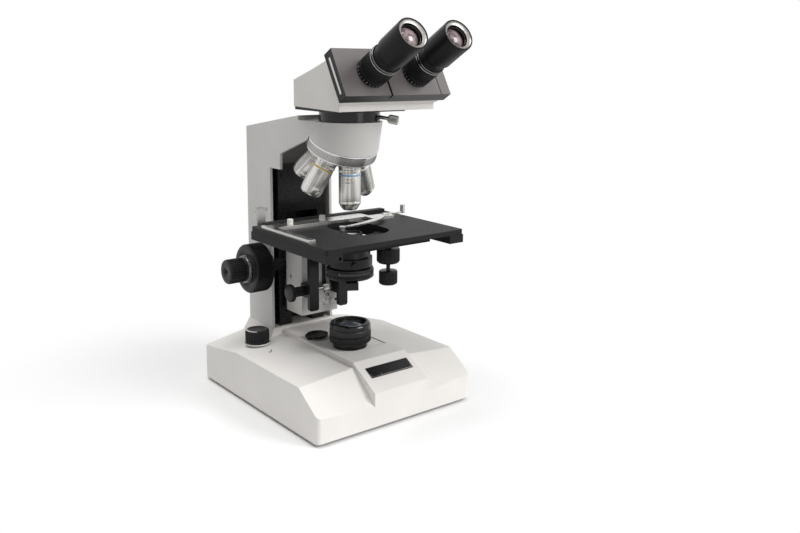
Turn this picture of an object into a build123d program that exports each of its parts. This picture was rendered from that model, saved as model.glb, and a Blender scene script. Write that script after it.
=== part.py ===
from build123d import *
import math
import os

os.makedirs("parts", exist_ok=True)

# Binocular biological microscope, lengths in millimetres and angles in degrees.
# The optical axis stands on the origin at table level: +X right, -Y to the user, +Z up.

# Fits
running = 0.05      # play of a turning or sliding fit, on each side
face_gap = 0.1      # between flat faces that pass each other
free_gap = 0.5      # between pieces that never touch
merge = 0.5         # how far shapes of one piece reach into each other

# Base
foot_height = 3.1
foot_radius = 9
foot_inset = 18                 # from the base's edges to each foot
base_half = 94
base_front = -84.1
base_back = 146.5
base_corner = 5
side_front_top = 28
side_ramp_run = 32.5
side_top = 49.2
side_drop_start = 70
side_back_top = 38
ridge_half = 32
ridge_front_top = 23.7
ridge_ramp_run = 35.6
ridge_top = 53
ridge_drop_start = 100
ridge_back_top = 50
base_wall = 4
base_roof = 7
spine_middle = 3.5
spine_half = 32.5
spine_top = 57.5
spine_front_top = 37
spine_ramp_run = 37.6
spine_back = 92
recess_depth = 0.6
recess_half = 29
recess_front = -18.5
pedestal_top = 60
pedestal_flare = 11
plate_thickness = 1.6
boss_radius = 5
boss_inset = 16                 # from the base's side to each boss
boss_rows = (-45, 62)
screw_radius = 1.5
screw_length = 12
screw_head_radius = 3
screw_head_height = 1.2
nameplate = (51, 13.4, 0.7)      # length, width and thickness of the blank plate
nameplate_shift = (1.1, 3.5)

# Illuminator
collector_flange_radius = 18
collector_flange_height = 6
collector_tube_radius = 16.5
collector_cap_radius = 21.6
collector_top = 83.3
collector_cap_height = 9
collector_bore = 12
spigot_radius = 14
spigot_depth = 15
filter_radius = 16.3
filter_seat_depth = 3
field_ring_height = 6.5
lens_radius = 13.5
lens_thickness = 4
lamp_radius = 3
board_size = (34, 34, 1.6)
heatsink_size = (34, 34, 14)
fin_count = 7
holder_post = (-22, 44)         # swing-out filter holder's pivot
holder_offset = (9, -1)         # from the pivot to the disc's middle
holder_disc_radius = 11.5
holder_height = 2.4
holder_post_radius = 3
holder_socket = 4               # from the base's cavity up to the post's end
holder_level = 59
dim_knob = (-65.5, 79)
dim_knob_radius = 12.6
dim_knob_height = 14.5
dim_skirt_radius = 13.4
dim_skirt_height = 2
dim_lift = 1.3                  # the knob's gap above the sloping base
dim_shaft_radius = 3
jack_spot = (42, 21)            # X and Z of the supply inlet
jack_radius = 5.5
jack_depth = 14
jack_bore = 3.3
jack_floor = 3
jack_pin_radius = 1
jack_pin_length = 9

# Arm
arm_half = 38.9
arm_back = 144.5
arm_wall = 3
arm_front = 93.5
arm_step_front = 72.5
arm_step = 238
boom_low = (72, 254.6)
boom_tip = (20, 274.7)
boom_back_top = 279.2
boom_front_top = 297
boom_front = 38
boom_taper_start = 60
nose_radius = 33.3
nose_top = 292.5
light_bore = 12
light_bore_drop = 13            # below the crossing of the axes
nose_height = 60
low_light_bore = 5

# Focus guide, the black channel in the arm
guide_half = 28.6
guide_front = 95.4
guide_top = 237
guide_back = 124
guide_wall = 6
guide_rail = 7.9
guide_window_top = 187
guide_foot_height = 15
guide_foot_width = 15.3
standoff_radius = 6
standoff_levels = (85, 215)

# Focus drive
focus_y = 100
focus_z = 129.4
pinion_radius = 6
coarse_shaft_radius = 5
fine_shaft_radius = 2.5
coarse_radius = 26.4
coarse_in = 45.5
coarse_out = 66
dial_radius = 15
dial_width = 3.2
fine_radius = 13.2
fine_out = 89.5
fine_edge = 1.2                 # chamfer, and depth of the dimple
fine_dimple = 2
collar_radius = 16.5
collar_width = 4.6
bush_radius = 8

# Rack slide and stage bracket
slide_low = 95
slide_high = 165
cheek_in = 12
slide_front = 90.4
slide_plate = 3
lift_down = 16
lift_up = 14
fine_travel = 0.9
tongue_half = 9
tongue_depth = 6
tongue_low = 102
tongue_high = 150
bracket_half = 22.5
bracket_front = 58
bracket_low = 79
shelf_half = 30
shelf_front = 31
shelf_thickness = 11

# Stage
stage_left = -81.4
stage_right = 83
stage_front = -82
stage_rear = 58
stage_top = 184.5
stage_plate = 5
stage_frame = 8.3
stage_set_back = 22
frame_hole_radius = 26
hole_radius = 23.7
hole_middle = -14.1
hole_spacing = 26.4
side_rail = 17.7
rail_hole = (3, 3.5)            # from the left rail's inner edge and its underside
rail_hole_radius = 1.6
rail_hole_depth = 6
shaft_slot = (57.4, 65.4)
y_backward = 30
coax_x = 61.4
coax_y = 16
y_knob_radius = 12.7
y_knob_levels = (134, 151)
x_knob_radius = 10.2
x_knob_levels = (110, 126)
y_shaft_radius = 3.6
x_shaft_radius = 2.2
shaft_cover = 1.5               # of the top plate over the shafts' ends
guide_bar = (41.5, 50, 4.5)     # front, back and height of the carriage's guide bar
guide_margin = 8                # from the plate's sides to the bar's ends
bar_left = -79
bar_right = 64
bar_front = 20.5
bar_back = 41
bar_neck = 40
bar_neck_front = 9
neck_lap = 6
bar_neck_back = 23
bar_thickness = 3.2
arm_bar_width = 7
arm_bar_front = -49
thumb_spots = (-53, -15)
thumb_y = 29
thumb_radius = 3.1
thumb_height = 5.5
finger_pivot = (57, 15.5)
finger_tip = (-21, -18)
finger_bows = (5, 12.5)         # bow of the inner and the outer edge
finger_width = 3.6
finger_thickness = 1.6
finger_pin = 2
handle_end = (79, 14)
handle_post_radius = 2.6
handle_post_height = 9
stop_plate = (-69.5, 9.5, 17.5)    # X middle, width and height of the rear stop bracket
stop_thickness = 2.4
stop_head_radius = 2.6
stop_rod_radius = 1.4
stop_rod_end = -59

# Condenser
cond_radius = 24.5
cond_low = 131
cond_flange = 11
cond_neck = 18.5
cond_neck_top = 166
cond_lens_radius = 11
cond_top = 178
iris_ring_radius = 20
iris_ring_height = 3.6
iris_lever_angle = -119
iris_lever_span = (15, 27.5)    # inner and outer reach
iris_lever_width = 12
iris_lever_low = 123.4
holder_ring_wall = 4.5
carrier_low = 144
carrier_high = 153
carrier_half = 12.4
rail_in = 12.5
rail_out = 24
rail_front = 40
rail_depth = 4.5
rail_bearing = 7                # half height of the drive's bearing blocks
rail_low = 88
rail_round = 2.5
rack_middle = 4.5
rack_half = 1.5
rack_low = 103
cond_drive_y = 51
cond_drive_z = 109
cond_pinion_radius = 4
cond_shaft_radius = 2.5
cond_shaft_end = 6
cond_pinion_start = -1.5
cond_pinion_width = 10
cond_disc_radius = 9.5
cond_grip_radius = 5.3
cond_knob_end = 43
cond_disc_thickness = 4.5
clamp_angle = -114
tommy_radius = 1.1
cond_clamp_radius = 3
cond_clamp_length = 5

# Turret and objectives
lean = 24.5                     # angle between the turret's axis and the optical axis
apex_z = 295                    # where the two axes cross
seat_distance = 49              # from the crossing to each objective's shoulder
turret_radius = 36.3
turret_start = 25
turret_rim = 12
turret_depth = 47.8
turret_hub = 12
turret_bore = 4.5
stud_radius = 4.5
stud_length = 23
stations = 5
station_rim = 0.4               # how far the turret's seats stand out past the barrels
station_depth = 9
thread_radius = 10.16
thread_length = 4.5
barrel_radius = 11.4
objective_lengths = (44.4, 44.4, 20, 38.5, 38)    # front one first, the third place holds a plug
tip_radii = (6.6, 6.2, 0, 8.8, 8.6)
tip_taper = 7                   # length of the rounded end
tip_round = 2.4                 # length of the last, steepest part
tip_flare = 2                   # how far it widens
front_lens_radii = (2.4, 1.8, 0, 5, 3.6)
plug_height = 3

# Head
seat_radius = 30.8
seat_bore = 24
head_low = 303.5
head_plate = (42, -38.8, 37.3, 3)       # half width, front, back and thickness
spigot_seam = 0.02              # parts the plate from the spigot screwed below it
head_back_half = 42
head_front_half = 56
head_front = -64.5
head_wall = 3
head_points = (
    (37.3, 306.5),
    (37.3, 333),
    (-10, 345),
    (-34, 351.8),
    (-49.5, 356),
    (-73, 315.6),
    (-64.5, 312.5),
    (-64.5, 306.5),
)
prism_half = 15
prism_height = 22
tilt = 30                       # tubes above the horizontal
tube_y = -72.9
tube_z = 341.9
block_half = 61.4
block_low = 23.1
block_high = 25.8
block_thickness = 12.8
slide_thickness = 6.4
split_left = -10.8
split_right = -8.8
tongue_inner = 14
tongue_outer = 18
tongue_rise = 2.6
eye_spread = 52                 # between the eyepieces at their closest
spread_travel = 11.5
tube_radius = 12.5
tube_bore = 11.7
spread_room = 4                 # around the light paths behind the slides
light_window = 8
tube_length = 30
tube_top = 22                   # height of the tube's end above the slide's face
diopter_radius = 15.4
diopter_length = 24
crown_length = 4
focus_play = 2                  # eyepiece travel each way as the diopter collar turns
eye_sleeve_low = 4
eye_neck_radius = 13.8
eye_barrel_low = 37.4
eye_barrel_radius = 15.7
eye_barrel_end = 72
eye_cup_depth = 5
eye_rim = 1.6
eye_bore = 10
eye_lens_thickness = 4
clamp_azimuth = -45
clamp_dip = 10
clamp_reach = 1.2               # from the spigot to the screw's end
clamp_neck_radius = 1.9
clamp_neck_length = 9.5
clamp_head_radius = 4.6
clamp_head_length = 10


def finish(piece, name):
    piece.part.label = name
    export_step(piece.part, f"parts/{name}.step")


def disc(plane, radius, amount, mode=Mode.ADD):
    with BuildSketch(plane) as outline:
        Circle(radius)
    extrude(outline.sketch, amount=amount, mode=mode)


def block(x0, x1, y0, y1, z0, z1, mode=Mode.ADD):
    with BuildSketch(Plane.XY.offset(z0)) as outline:
        with Locations(((x0 + x1) / 2, (y0 + y1) / 2)):
            Rectangle(x1 - x0, y1 - y0)
    extrude(outline.sketch, amount=z1 - z0, mode=mode)


def along_x(x, y, z, sign=1):
    return Plane(origin=(x, y, z), x_dir=(0, sign, 0), z_dir=(sign, 0, 0))


def upright(x, y, z):
    return Plane(origin=(x, y, z), x_dir=(1, 0, 0), z_dir=(0, 0, 1))


# Base casting: a shallow gable on both sides of a raised spine, with a sloping front
side_section = [
    (base_front, foot_height),
    (base_front, side_front_top),
    (base_front + side_ramp_run, side_top),
    (side_drop_start, side_top),
    (base_back, side_back_top),
    (base_back, foot_height),
]
ridge_section = [
    (base_front, foot_height),
    (base_front, ridge_front_top),
    (base_front + ridge_ramp_run, ridge_top),
    (ridge_drop_start, ridge_top),
    (base_back, ridge_back_top),
    (base_back, foot_height),
]
spine_section = [
    (base_front, foot_height + base_wall),
    (base_front, spine_front_top),
    (base_front + spine_ramp_run, spine_top),
    (spine_back, spine_top),
    (spine_back, foot_height + base_wall),
]
cavity_top = side_top - base_roof
cavity_half = base_half - base_wall
cavity_front = base_front + base_wall
cavity_back = base_back - base_wall
plate_low = foot_height
plate_high = foot_height + plate_thickness
cavity_section = [
    (cavity_front, 0),
    (cavity_front, ridge_front_top - base_roof),
    (base_front + side_ramp_run + base_roof, cavity_top),
    (side_drop_start, cavity_top),
    (cavity_back, side_back_top - base_roof),
    (cavity_back, 0),
]
boss_spots = [(x * (base_half - boss_inset), y) for x in (-1, 1) for y in boss_rows]
foot_spots = [
    (x * (base_half - foot_inset), y)
    for x in (-1, 1)
    for y in (base_front + foot_inset, base_back - foot_inset)
]
dim_surface = side_top + (ridge_top - side_top) * (base_half + dim_knob[0]) / (base_half - ridge_half)

with BuildPart() as base_casting:
    with BuildSketch(Plane.YZ.offset(-ridge_half)):
        Polygon(*ridge_section, align=None)
    extrude(amount=2 * ridge_half)
    for side in (-1, 1):
        with BuildSketch(Plane.YZ.offset(side * ridge_half)):
            Polygon(*ridge_section, align=None)
        with BuildSketch(Plane.YZ.offset(side * base_half)):
            Polygon(*side_section, align=None)
        loft(ruled=True)
    corners = base_casting.edges().filter_by(Axis.Z)
    fillet(corners.group_by(Axis.X)[0] + corners.group_by(Axis.X)[-1], base_corner)
    with BuildSketch(Plane.YZ.offset(spine_middle - spine_half)):
        Polygon(*spine_section, align=None)
    extrude(amount=2 * spine_half)
    with BuildSketch(Plane.XY.offset(cavity_top + 1)):
        with Locations((0, (spine_back - pedestal_flare + arm_back) / 2)):
            Rectangle(2 * (arm_half + pedestal_flare), arm_back - spine_back + pedestal_flare)
    with BuildSketch(Plane.XY.offset(pedestal_top)):
        with Locations((0, (arm_front - 2 + arm_back + 1) / 2)):
            Rectangle(2 * arm_half + 1, arm_back - arm_front + 3)
    loft(ruled=True)
    with BuildSketch(Plane.YZ.offset(-cavity_half)):
        Polygon(*cavity_section, align=None)
    extrude(amount=2 * cavity_half, mode=Mode.SUBTRACT)
    with BuildSketch(Plane.XY.offset(plate_high)):
        with Locations(*boss_spots):
            Circle(boss_radius)
    extrude(amount=cavity_top - plate_high + 1)
    with BuildSketch(Plane.XY.offset(plate_high)):
        with Locations(*boss_spots):
            Circle(screw_radius + running)
    extrude(amount=screw_length, mode=Mode.SUBTRACT)
    block(spine_middle - recess_half, spine_middle + recess_half, recess_front, spine_back - 5,
          spine_top - recess_depth, spine_top, Mode.SUBTRACT)
    disc(upright(0, 0, cavity_top - 1), spigot_radius + running, spine_top, Mode.SUBTRACT)
    disc(upright(*dim_knob, cavity_top - 8), dim_shaft_radius + running, spine_top, Mode.SUBTRACT)
    disc(upright(*holder_post, cavity_top + holder_socket), holder_post_radius + running, spine_top,
         Mode.SUBTRACT)
    disc(Plane(origin=(jack_spot[0], base_back - 2 * base_wall, jack_spot[1]), z_dir=(0, 1, 0)),
         jack_radius + running, 3 * base_wall, Mode.SUBTRACT)
finish(base_casting, "base_casting")

with BuildPart() as bottom_plate:
    block(-cavity_half + free_gap, cavity_half - free_gap, cavity_front + free_gap, cavity_back - free_gap,
          plate_low, plate_high)
    with BuildSketch(Plane.XY.offset(plate_low)):
        with Locations(*boss_spots):
            Circle(screw_radius + running)
    extrude(amount=plate_thickness, mode=Mode.SUBTRACT)
    with BuildSketch(Plane.XY.offset(plate_low)):
        with Locations(*boss_spots):
            Circle(screw_head_radius + running)
    extrude(amount=screw_head_height, mode=Mode.SUBTRACT)
finish(bottom_plate, "bottom_plate")

with BuildPart() as base_screws:
    with BuildSketch(Plane.XY.offset(plate_low)):
        with Locations(*boss_spots):
            Circle(screw_head_radius)
    extrude(amount=screw_head_height)
    with BuildSketch(Plane.XY.offset(plate_low)):
        with Locations(*boss_spots):
            Circle(screw_radius)
    extrude(amount=screw_length)
finish(base_screws, "base_screws")

with BuildPart() as rubber_feet:
    with BuildSketch(Plane.XY):
        with Locations(*foot_spots):
            Circle(foot_radius)
    extrude(amount=foot_height)
    chamfer(rubber_feet.edges().group_by(Axis.Z)[0], 0.8)
finish(rubber_feet, "rubber_feet")

# Blank plate on the spine's slope
spine_slope = math.degrees(math.atan2(spine_top - spine_front_top, spine_ramp_run))
slope_plane = Plane(
    origin=(spine_middle, base_front + spine_ramp_run / 2, (spine_top + spine_front_top) / 2),
    x_dir=(1, 0, 0),
    z_dir=(0, -math.sin(math.radians(spine_slope)), math.cos(math.radians(spine_slope))),
)
with BuildPart() as name_plate:
    with BuildSketch(slope_plane):
        with Locations(nameplate_shift):
            Rectangle(nameplate[0], nameplate[1])
    extrude(amount=nameplate[2])
finish(name_plate, "name_plate")

# Collector on the base, with a turning ring for the field diaphragm under its cap
collector_base = spine_top - recess_depth
ring_low = collector_base + collector_flange_height + face_gap
ring_high = ring_low + field_ring_height
cap_low = collector_top - collector_cap_height
with BuildPart() as collector_housing:
    disc(upright(0, 0, collector_base - spigot_depth), spigot_radius, spigot_depth)
    disc(upright(0, 0, collector_base), collector_flange_radius, collector_flange_height)
    disc(upright(0, 0, collector_base), collector_tube_radius, cap_low - collector_base)
    disc(upright(0, 0, ring_high + face_gap), collector_cap_radius, collector_top - ring_high - face_gap)
    chamfer(collector_housing.edges().group_by(Axis.Z)[-1], 1.5)
    disc(upright(0, 0, collector_base - spigot_depth), collector_bore, collector_top, Mode.SUBTRACT)
    disc(upright(0, 0, collector_top - filter_seat_depth), filter_radius, filter_seat_depth, Mode.SUBTRACT)
    disc(upright(0, 0, collector_top - filter_seat_depth - lens_thickness), lens_radius + running,
         lens_thickness, Mode.SUBTRACT)
finish(collector_housing, "collector_housing")

with BuildPart() as field_ring:
    disc(upright(0, 0, ring_low), collector_cap_radius, field_ring_height)
    disc(upright(0, 0, ring_low), collector_tube_radius + running, field_ring_height, Mode.SUBTRACT)
finish(field_ring, "field_ring")

lens_low = collector_top - filter_seat_depth - lens_thickness
with BuildPart() as collector_lens:
    disc(upright(0, 0, lens_low), lens_radius, lens_thickness)
    fillet(collector_lens.edges().group_by(Axis.Z)[-1], 2.5)
finish(collector_lens, "collector_lens")

# Lamp board under the collector, on a finned heat sink that stands on the bottom plate
board_top = collector_base - spigot_depth - free_gap
with BuildPart() as lamp_board:
    block(-board_size[0] / 2, board_size[0] / 2, -board_size[1] / 2, board_size[1] / 2,
          board_top - board_size[2], board_top)
    disc(upright(0, 0, board_top), lamp_radius, 2)
finish(lamp_board, "lamp_board")

sink_top = board_top - board_size[2]
with BuildPart() as heat_sink:
    block(-heatsink_size[0] / 2, heatsink_size[0] / 2, -heatsink_size[1] / 2, heatsink_size[1] / 2,
          plate_high, sink_top)
    fin_pitch = heatsink_size[0] / fin_count
    with BuildSketch(Plane.XZ.offset(-heatsink_size[1] / 2)):
        with Locations((0, sink_top - heatsink_size[2] / 2 - 4)):
            with GridLocations(fin_pitch, 1, fin_count - 1, 1):
                Rectangle(fin_pitch / 2, heatsink_size[2])
    extrude(amount=heatsink_size[1], mode=Mode.SUBTRACT)
finish(heat_sink, "heat_sink")

with BuildPart() as dim_knob_part:
    disc(upright(*dim_knob, dim_surface + dim_lift), dim_skirt_radius, dim_skirt_height)
    disc(upright(*dim_knob, dim_surface + dim_lift + 1), dim_knob_radius, dim_knob_height + 0.2)
    chamfer(dim_knob_part.edges().group_by(Axis.Z)[-1], 1)
    disc(upright(*dim_knob, cavity_top - 6), dim_shaft_radius, dim_surface + 4 - cavity_top + 6)
finish(dim_knob_part, "dimmer_knob")

with BuildPart() as dc_inlet:
    disc(Plane(origin=(jack_spot[0], base_back, jack_spot[1]), z_dir=(0, -1, 0)), jack_radius, jack_depth)
    disc(Plane(origin=(jack_spot[0], base_back, jack_spot[1]), z_dir=(0, -1, 0)), jack_bore,
         jack_depth - jack_floor, Mode.SUBTRACT)
    disc(Plane(origin=(jack_spot[0], base_back - jack_depth + jack_floor, jack_spot[1]), z_dir=(0, 1, 0)),
         jack_pin_radius, jack_pin_length)
finish(dc_inlet, "dc_inlet")

# Filter holder that swings over the collector's foot
with BuildPart() as filter_holder:
    disc(upright(*holder_post, cavity_top + holder_socket), holder_post_radius,
         holder_level - cavity_top - holder_socket)
    disc(upright(*holder_post, holder_level), holder_post_radius + 2, holder_height)
    disc(upright(holder_post[0] + holder_offset[0], holder_post[1] + holder_offset[1], holder_level),
         holder_disc_radius, holder_height)
finish(filter_holder, "filter_holder")

# Turret frame: planes square to the turret's axis and to each objective's axis
lean_sin = math.sin(math.radians(lean))
lean_cos = math.cos(math.radians(lean))


def turret_plane(distance, outward=1):
    place = (0, lean_sin * distance, apex_z - lean_cos * distance)
    return Plane(origin=place, x_dir=(1, 0, 0), z_dir=(0, outward * lean_sin, -outward * lean_cos))


def station_axis(index):
    turn = math.radians(360 / stations * index)
    side = (lean_sin * math.sin(turn), 0)
    away = -lean_sin * math.cos(turn)
    return (side[0], lean_cos * (lean_sin + away), -lean_cos * lean_cos + lean_sin * away)


def station_plane(index, distance):
    axis = Vector(*station_axis(index))
    return Plane(origin=Vector(0, 0, apex_z) + axis * distance, z_dir=axis)


# Arm: column, boom and the round nose that carries the turret
arm_profile = [
    (arm_back, pedestal_top),
    (arm_back, boom_back_top),
    (boom_front, boom_front_top),
    (boom_front, nose_top),
    (0, nose_top),
    (0, nose_top - 8),
    boom_tip,
    boom_low,
    (arm_step_front, arm_step),
    (arm_front, arm_step),
    (arm_front, pedestal_top),
]
rim_slope = lean_sin / lean_cos
rim_y = lean_sin * turret_start
rim_z = apex_z - lean_cos * turret_start
roof_slope = (boom_front_top - boom_back_top) / (arm_back - boom_front)
ceiling_front = 50


def arm_plan(inset):
    wide = arm_half - inset
    narrow = nose_radius - inset
    with BuildLine() as outline:
        Polyline((narrow, 0), (wide, boom_taper_start), (wide, arm_back - inset),
                 (-wide, arm_back - inset), (-wide, boom_taper_start), (-narrow, 0))
        ThreePointArc((-narrow, 0), (0, -narrow), (narrow, 0))
    make_face(outline.edges())


with BuildPart() as arm_cavity:
    with BuildSketch(Plane.YZ.offset(-arm_half)):
        Polygon(
            (arm_back - arm_wall, 0),
            (arm_back - arm_wall, boom_back_top - arm_wall + roof_slope * arm_wall),
            (ceiling_front, boom_front_top - arm_wall - roof_slope * (ceiling_front - boom_front)),
            (ceiling_front, rim_z + rim_slope * (ceiling_front - rim_y)),
            (0, rim_z - rim_slope * rim_y),
            (0, 0),
            align=None,
        )
    extrude(amount=2 * arm_half)
    with BuildSketch(Plane.XY):
        arm_plan(arm_wall)
    extrude(amount=boom_front_top, mode=Mode.INTERSECT)

with BuildPart() as arm_casting:
    with BuildSketch(Plane.YZ.offset(-arm_half)):
        Polygon(*arm_profile, align=None)
    extrude(amount=2 * arm_half)
    with BuildSketch(Plane.XY.offset(pedestal_top)):
        arm_plan(0)
    extrude(amount=boom_front_top, mode=Mode.INTERSECT)
    with BuildSketch(turret_plane(turret_start, -1)):
        Circle(turret_radius + 0.4)
    with BuildSketch(Plane.XY.offset(nose_top)):
        Circle(nose_radius)
    loft()
    add(arm_cavity.part, mode=Mode.SUBTRACT)
    disc(turret_plane(turret_start), turret_radius + free_gap + 0.2, turret_depth, Mode.SUBTRACT)
    disc(turret_plane(turret_start - 4), stud_radius, stud_length)
    for level in standoff_levels:
        disc(Plane(origin=(0, arm_back - arm_wall, level), z_dir=(0, -1, 0)), standoff_radius,
             arm_back - arm_wall - guide_back)
    disc(upright(0, 0, apex_z - light_bore_drop), light_bore, nose_height, Mode.SUBTRACT)
    disc(upright(0, 0, apex_z - nose_height), low_light_bore, nose_height, Mode.SUBTRACT)
    disc(along_x(-arm_half - 1, focus_y, focus_z), bush_radius + running, 2 * arm_half + 2, Mode.SUBTRACT)
finish(arm_casting, "arm_casting")

# Focus guide: closed above, open in front below, where the bracket runs
with BuildPart() as focus_guide:
    block(-guide_half, guide_half, guide_front, guide_back, pedestal_top, guide_top)
    block(-guide_half + guide_rail, guide_half - guide_rail, guide_front + guide_wall / 2,
          guide_back - guide_wall, pedestal_top, guide_top - guide_wall, Mode.SUBTRACT)
    block(-guide_half + guide_rail, guide_half - guide_rail, guide_front - 1, guide_back - guide_wall,
          pedestal_top, guide_window_top, Mode.SUBTRACT)
    for side in (-1, 1):
        block(*sorted((side * guide_half, side * (guide_half - guide_foot_width))), guide_front,
              guide_back, pedestal_top, pedestal_top + guide_foot_height)
    disc(along_x(-guide_half - 1, focus_y, focus_z), bush_radius + running, 2 * guide_half + 2, Mode.SUBTRACT)
finish(focus_guide, "focus_guide")

with BuildPart() as focus_bushes:
    for side in (-1, 1):
        start = along_x(side * (guide_half - guide_rail), focus_y, focus_z, side)
        disc(start, bush_radius, arm_half - guide_half + guide_rail)
        disc(start, coarse_shaft_radius + running, arm_half, Mode.SUBTRACT)
finish(focus_bushes, "focus_bushes")

# Coarse knobs on a hollow shaft with the pinion
with BuildPart() as coarse_knobs:
    disc(along_x(-coarse_in - 1, focus_y, focus_z), coarse_shaft_radius, 2 * coarse_in + 2)
    disc(along_x(-cheek_in + 1, focus_y, focus_z), pinion_radius - 0.3, 2 * cheek_in - 2)
    for side in (-1, 1):
        face = along_x(side * coarse_in, focus_y, focus_z, side)
        disc(face, coarse_radius, coarse_out - coarse_in)
    disc(along_x(-coarse_out - 1, focus_y, focus_z), fine_shaft_radius + running, 2 * coarse_out + 2,
         Mode.SUBTRACT)
finish(coarse_knobs, "coarse_knobs")

with BuildPart() as fine_knobs:
    disc(along_x(-fine_out + 3, focus_y, focus_z), fine_shaft_radius, 2 * fine_out - 6)
    for side in (-1, 1):
        face = along_x(side * (coarse_out + free_gap), focus_y, focus_z, side)
        disc(face, dial_radius, dial_width)
        disc(face, fine_radius, fine_out - coarse_out - free_gap)
    chamfer(fine_knobs.edges().group_by(Axis.X)[0] + fine_knobs.edges().group_by(Axis.X)[-1], fine_edge)
    for side in (-1, 1):
        disc(along_x(side * fine_out, focus_y, focus_z, -side), fine_dimple, fine_edge, Mode.SUBTRACT)
finish(fine_knobs, "fine_knobs")

with BuildPart() as tension_collar:
    disc(along_x(-arm_half - face_gap, focus_y, focus_z, -1), collar_radius, collar_width)
    disc(along_x(-arm_half, focus_y, focus_z, -1), coarse_shaft_radius + running, coarse_in, Mode.SUBTRACT)
finish(tension_collar, "tension_collar")

with BuildPart() as right_flange:
    disc(along_x(arm_half, focus_y, focus_z), collar_radius, collar_width)
    disc(along_x(arm_half, focus_y, focus_z), coarse_shaft_radius + running, coarse_in, Mode.SUBTRACT)
finish(right_flange, "right_flange")

# Rack slide, a box around the pinion shaft that runs in the guide
run_half = guide_half - guide_rail - running
rack_y = focus_y + pinion_radius
with BuildPart() as rack_slide:
    block(-run_half, run_half, slide_front, guide_back - guide_wall - face_gap, slide_low, slide_high)
    block(-cheek_in, cheek_in, slide_front + slide_plate, rack_y + 0.3, slide_low, slide_high, Mode.SUBTRACT)
    with BuildSketch(along_x(-run_half, focus_y, focus_z)):
        with Locations((0, (lift_down - lift_up) / 2)):
            SlotCenterToCenter(lift_down + lift_up + 2, 2 * (coarse_shaft_radius + free_gap), rotation=90)
    extrude(amount=2 * run_half, mode=Mode.SUBTRACT)
    block(-tongue_half, tongue_half, slide_front - tongue_depth, slide_front, tongue_low, tongue_high)
finish(rack_slide, "rack_slide")

# Stage bracket: the light block in front of the guide, with a shelf under the stage
frame_low = stage_top - stage_plate - face_gap - stage_frame
with BuildPart() as stage_bracket:
    block(-bracket_half, bracket_half, bracket_front, slide_front - face_gap, bracket_low,
          frame_low - shelf_thickness)
    block(-shelf_half, shelf_half, shelf_front, slide_front - face_gap, frame_low - shelf_thickness,
          frame_low)
    fillet(stage_bracket.edges().filter_by(Axis.Z).group_by(Axis.Y)[0], 4)
    block(-tongue_half - running, tongue_half + running, slide_front - tongue_depth - face_gap, slide_front,
          tongue_low - fine_travel - 0.3, tongue_high + fine_travel + 0.3, Mode.SUBTRACT)
finish(stage_bracket, "stage_bracket")

# Stage frame, with two side rails and room for the condenser and the drive shaft
plate_low_z = stage_top - stage_plate
frame_high = plate_low_z - face_gap
with BuildPart() as stage_frame_part:
    block(stage_left, stage_right, stage_front, stage_rear, frame_low, frame_high)
    block(stage_left + side_rail, shaft_slot[0], stage_front, stage_front + stage_set_back,
          frame_low, frame_high, Mode.SUBTRACT)
    block(*shaft_slot, stage_front, coax_y + y_backward + y_shaft_radius + 2, frame_low, frame_high,
          Mode.SUBTRACT)
    disc(upright(0, 0, frame_low), frame_hole_radius, stage_frame, Mode.SUBTRACT)
    with BuildSketch(Plane.XZ.offset(-stage_front)):
        with Locations((stage_left + side_rail - rail_hole[0], frame_low + rail_hole[1])):
            Circle(rail_hole_radius)
    extrude(amount=-rail_hole_depth, mode=Mode.SUBTRACT)
finish(stage_frame_part, "stage_frame")

with BuildPart() as stage_top_plate:
    block(stage_left, stage_right, stage_front, stage_rear, plate_low_z, stage_top)
    fillet(stage_top_plate.edges().filter_by(Axis.Z), 3)
    with BuildSketch(Plane.XY.offset(plate_low_z)):
        with Locations((0, hole_middle)):
            SlotCenterToCenter(hole_spacing, 2 * hole_radius, rotation=90)
    extrude(amount=stage_plate, mode=Mode.SUBTRACT)
    block(stage_left + guide_margin, stage_right - guide_margin, guide_bar[0], guide_bar[1], stage_top,
          stage_top + guide_bar[2])
    disc(upright(coax_x, coax_y, plate_low_z), y_shaft_radius + running, stage_plate - shaft_cover,
         Mode.SUBTRACT)
finish(stage_top_plate, "stage_plate")

shaft_top = stage_top - shaft_cover - 2 * face_gap
with BuildPart() as y_knob:
    disc(upright(coax_x, coax_y, y_knob_levels[0]), y_knob_radius, y_knob_levels[1] - y_knob_levels[0])
    chamfer(y_knob.edges().group_by(Axis.Z)[0], 1.5)
    disc(upright(coax_x, coax_y, y_knob_levels[1]), y_shaft_radius, shaft_top - y_knob_levels[1])
    disc(upright(coax_x, coax_y, y_knob_levels[0]), x_shaft_radius + running, stage_top, Mode.SUBTRACT)
finish(y_knob, "y_drive_knob")

with BuildPart() as x_knob:
    disc(upright(coax_x, coax_y, x_knob_levels[0]), x_knob_radius, x_knob_levels[1] - x_knob_levels[0])
    chamfer(x_knob.edges().group_by(Axis.Z)[0], 1.5)
    disc(upright(coax_x, coax_y, x_knob_levels[1]), x_shaft_radius, shaft_top - x_knob_levels[1])
finish(x_knob, "x_drive_knob")

# Specimen holder: a flat carriage along X with a fixed arm, and a sprung finger
bar_low = stage_top + face_gap
bar_high = bar_low + bar_thickness
with BuildPart() as carriage:
    block(bar_left, bar_neck, bar_front, bar_back, bar_low, bar_high)
    block(bar_neck, bar_right, bar_neck_front, bar_neck_back, bar_low, bar_high)
    block(bar_neck - neck_lap, bar_neck, bar_neck_front, bar_front, bar_low, bar_high)
    block(bar_left, bar_left + arm_bar_width, arm_bar_front, bar_front, bar_low, bar_high)
    disc(upright(*finger_pivot, bar_low), finger_pin + running, bar_thickness, Mode.SUBTRACT)
finish(carriage, "carriage")

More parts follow.
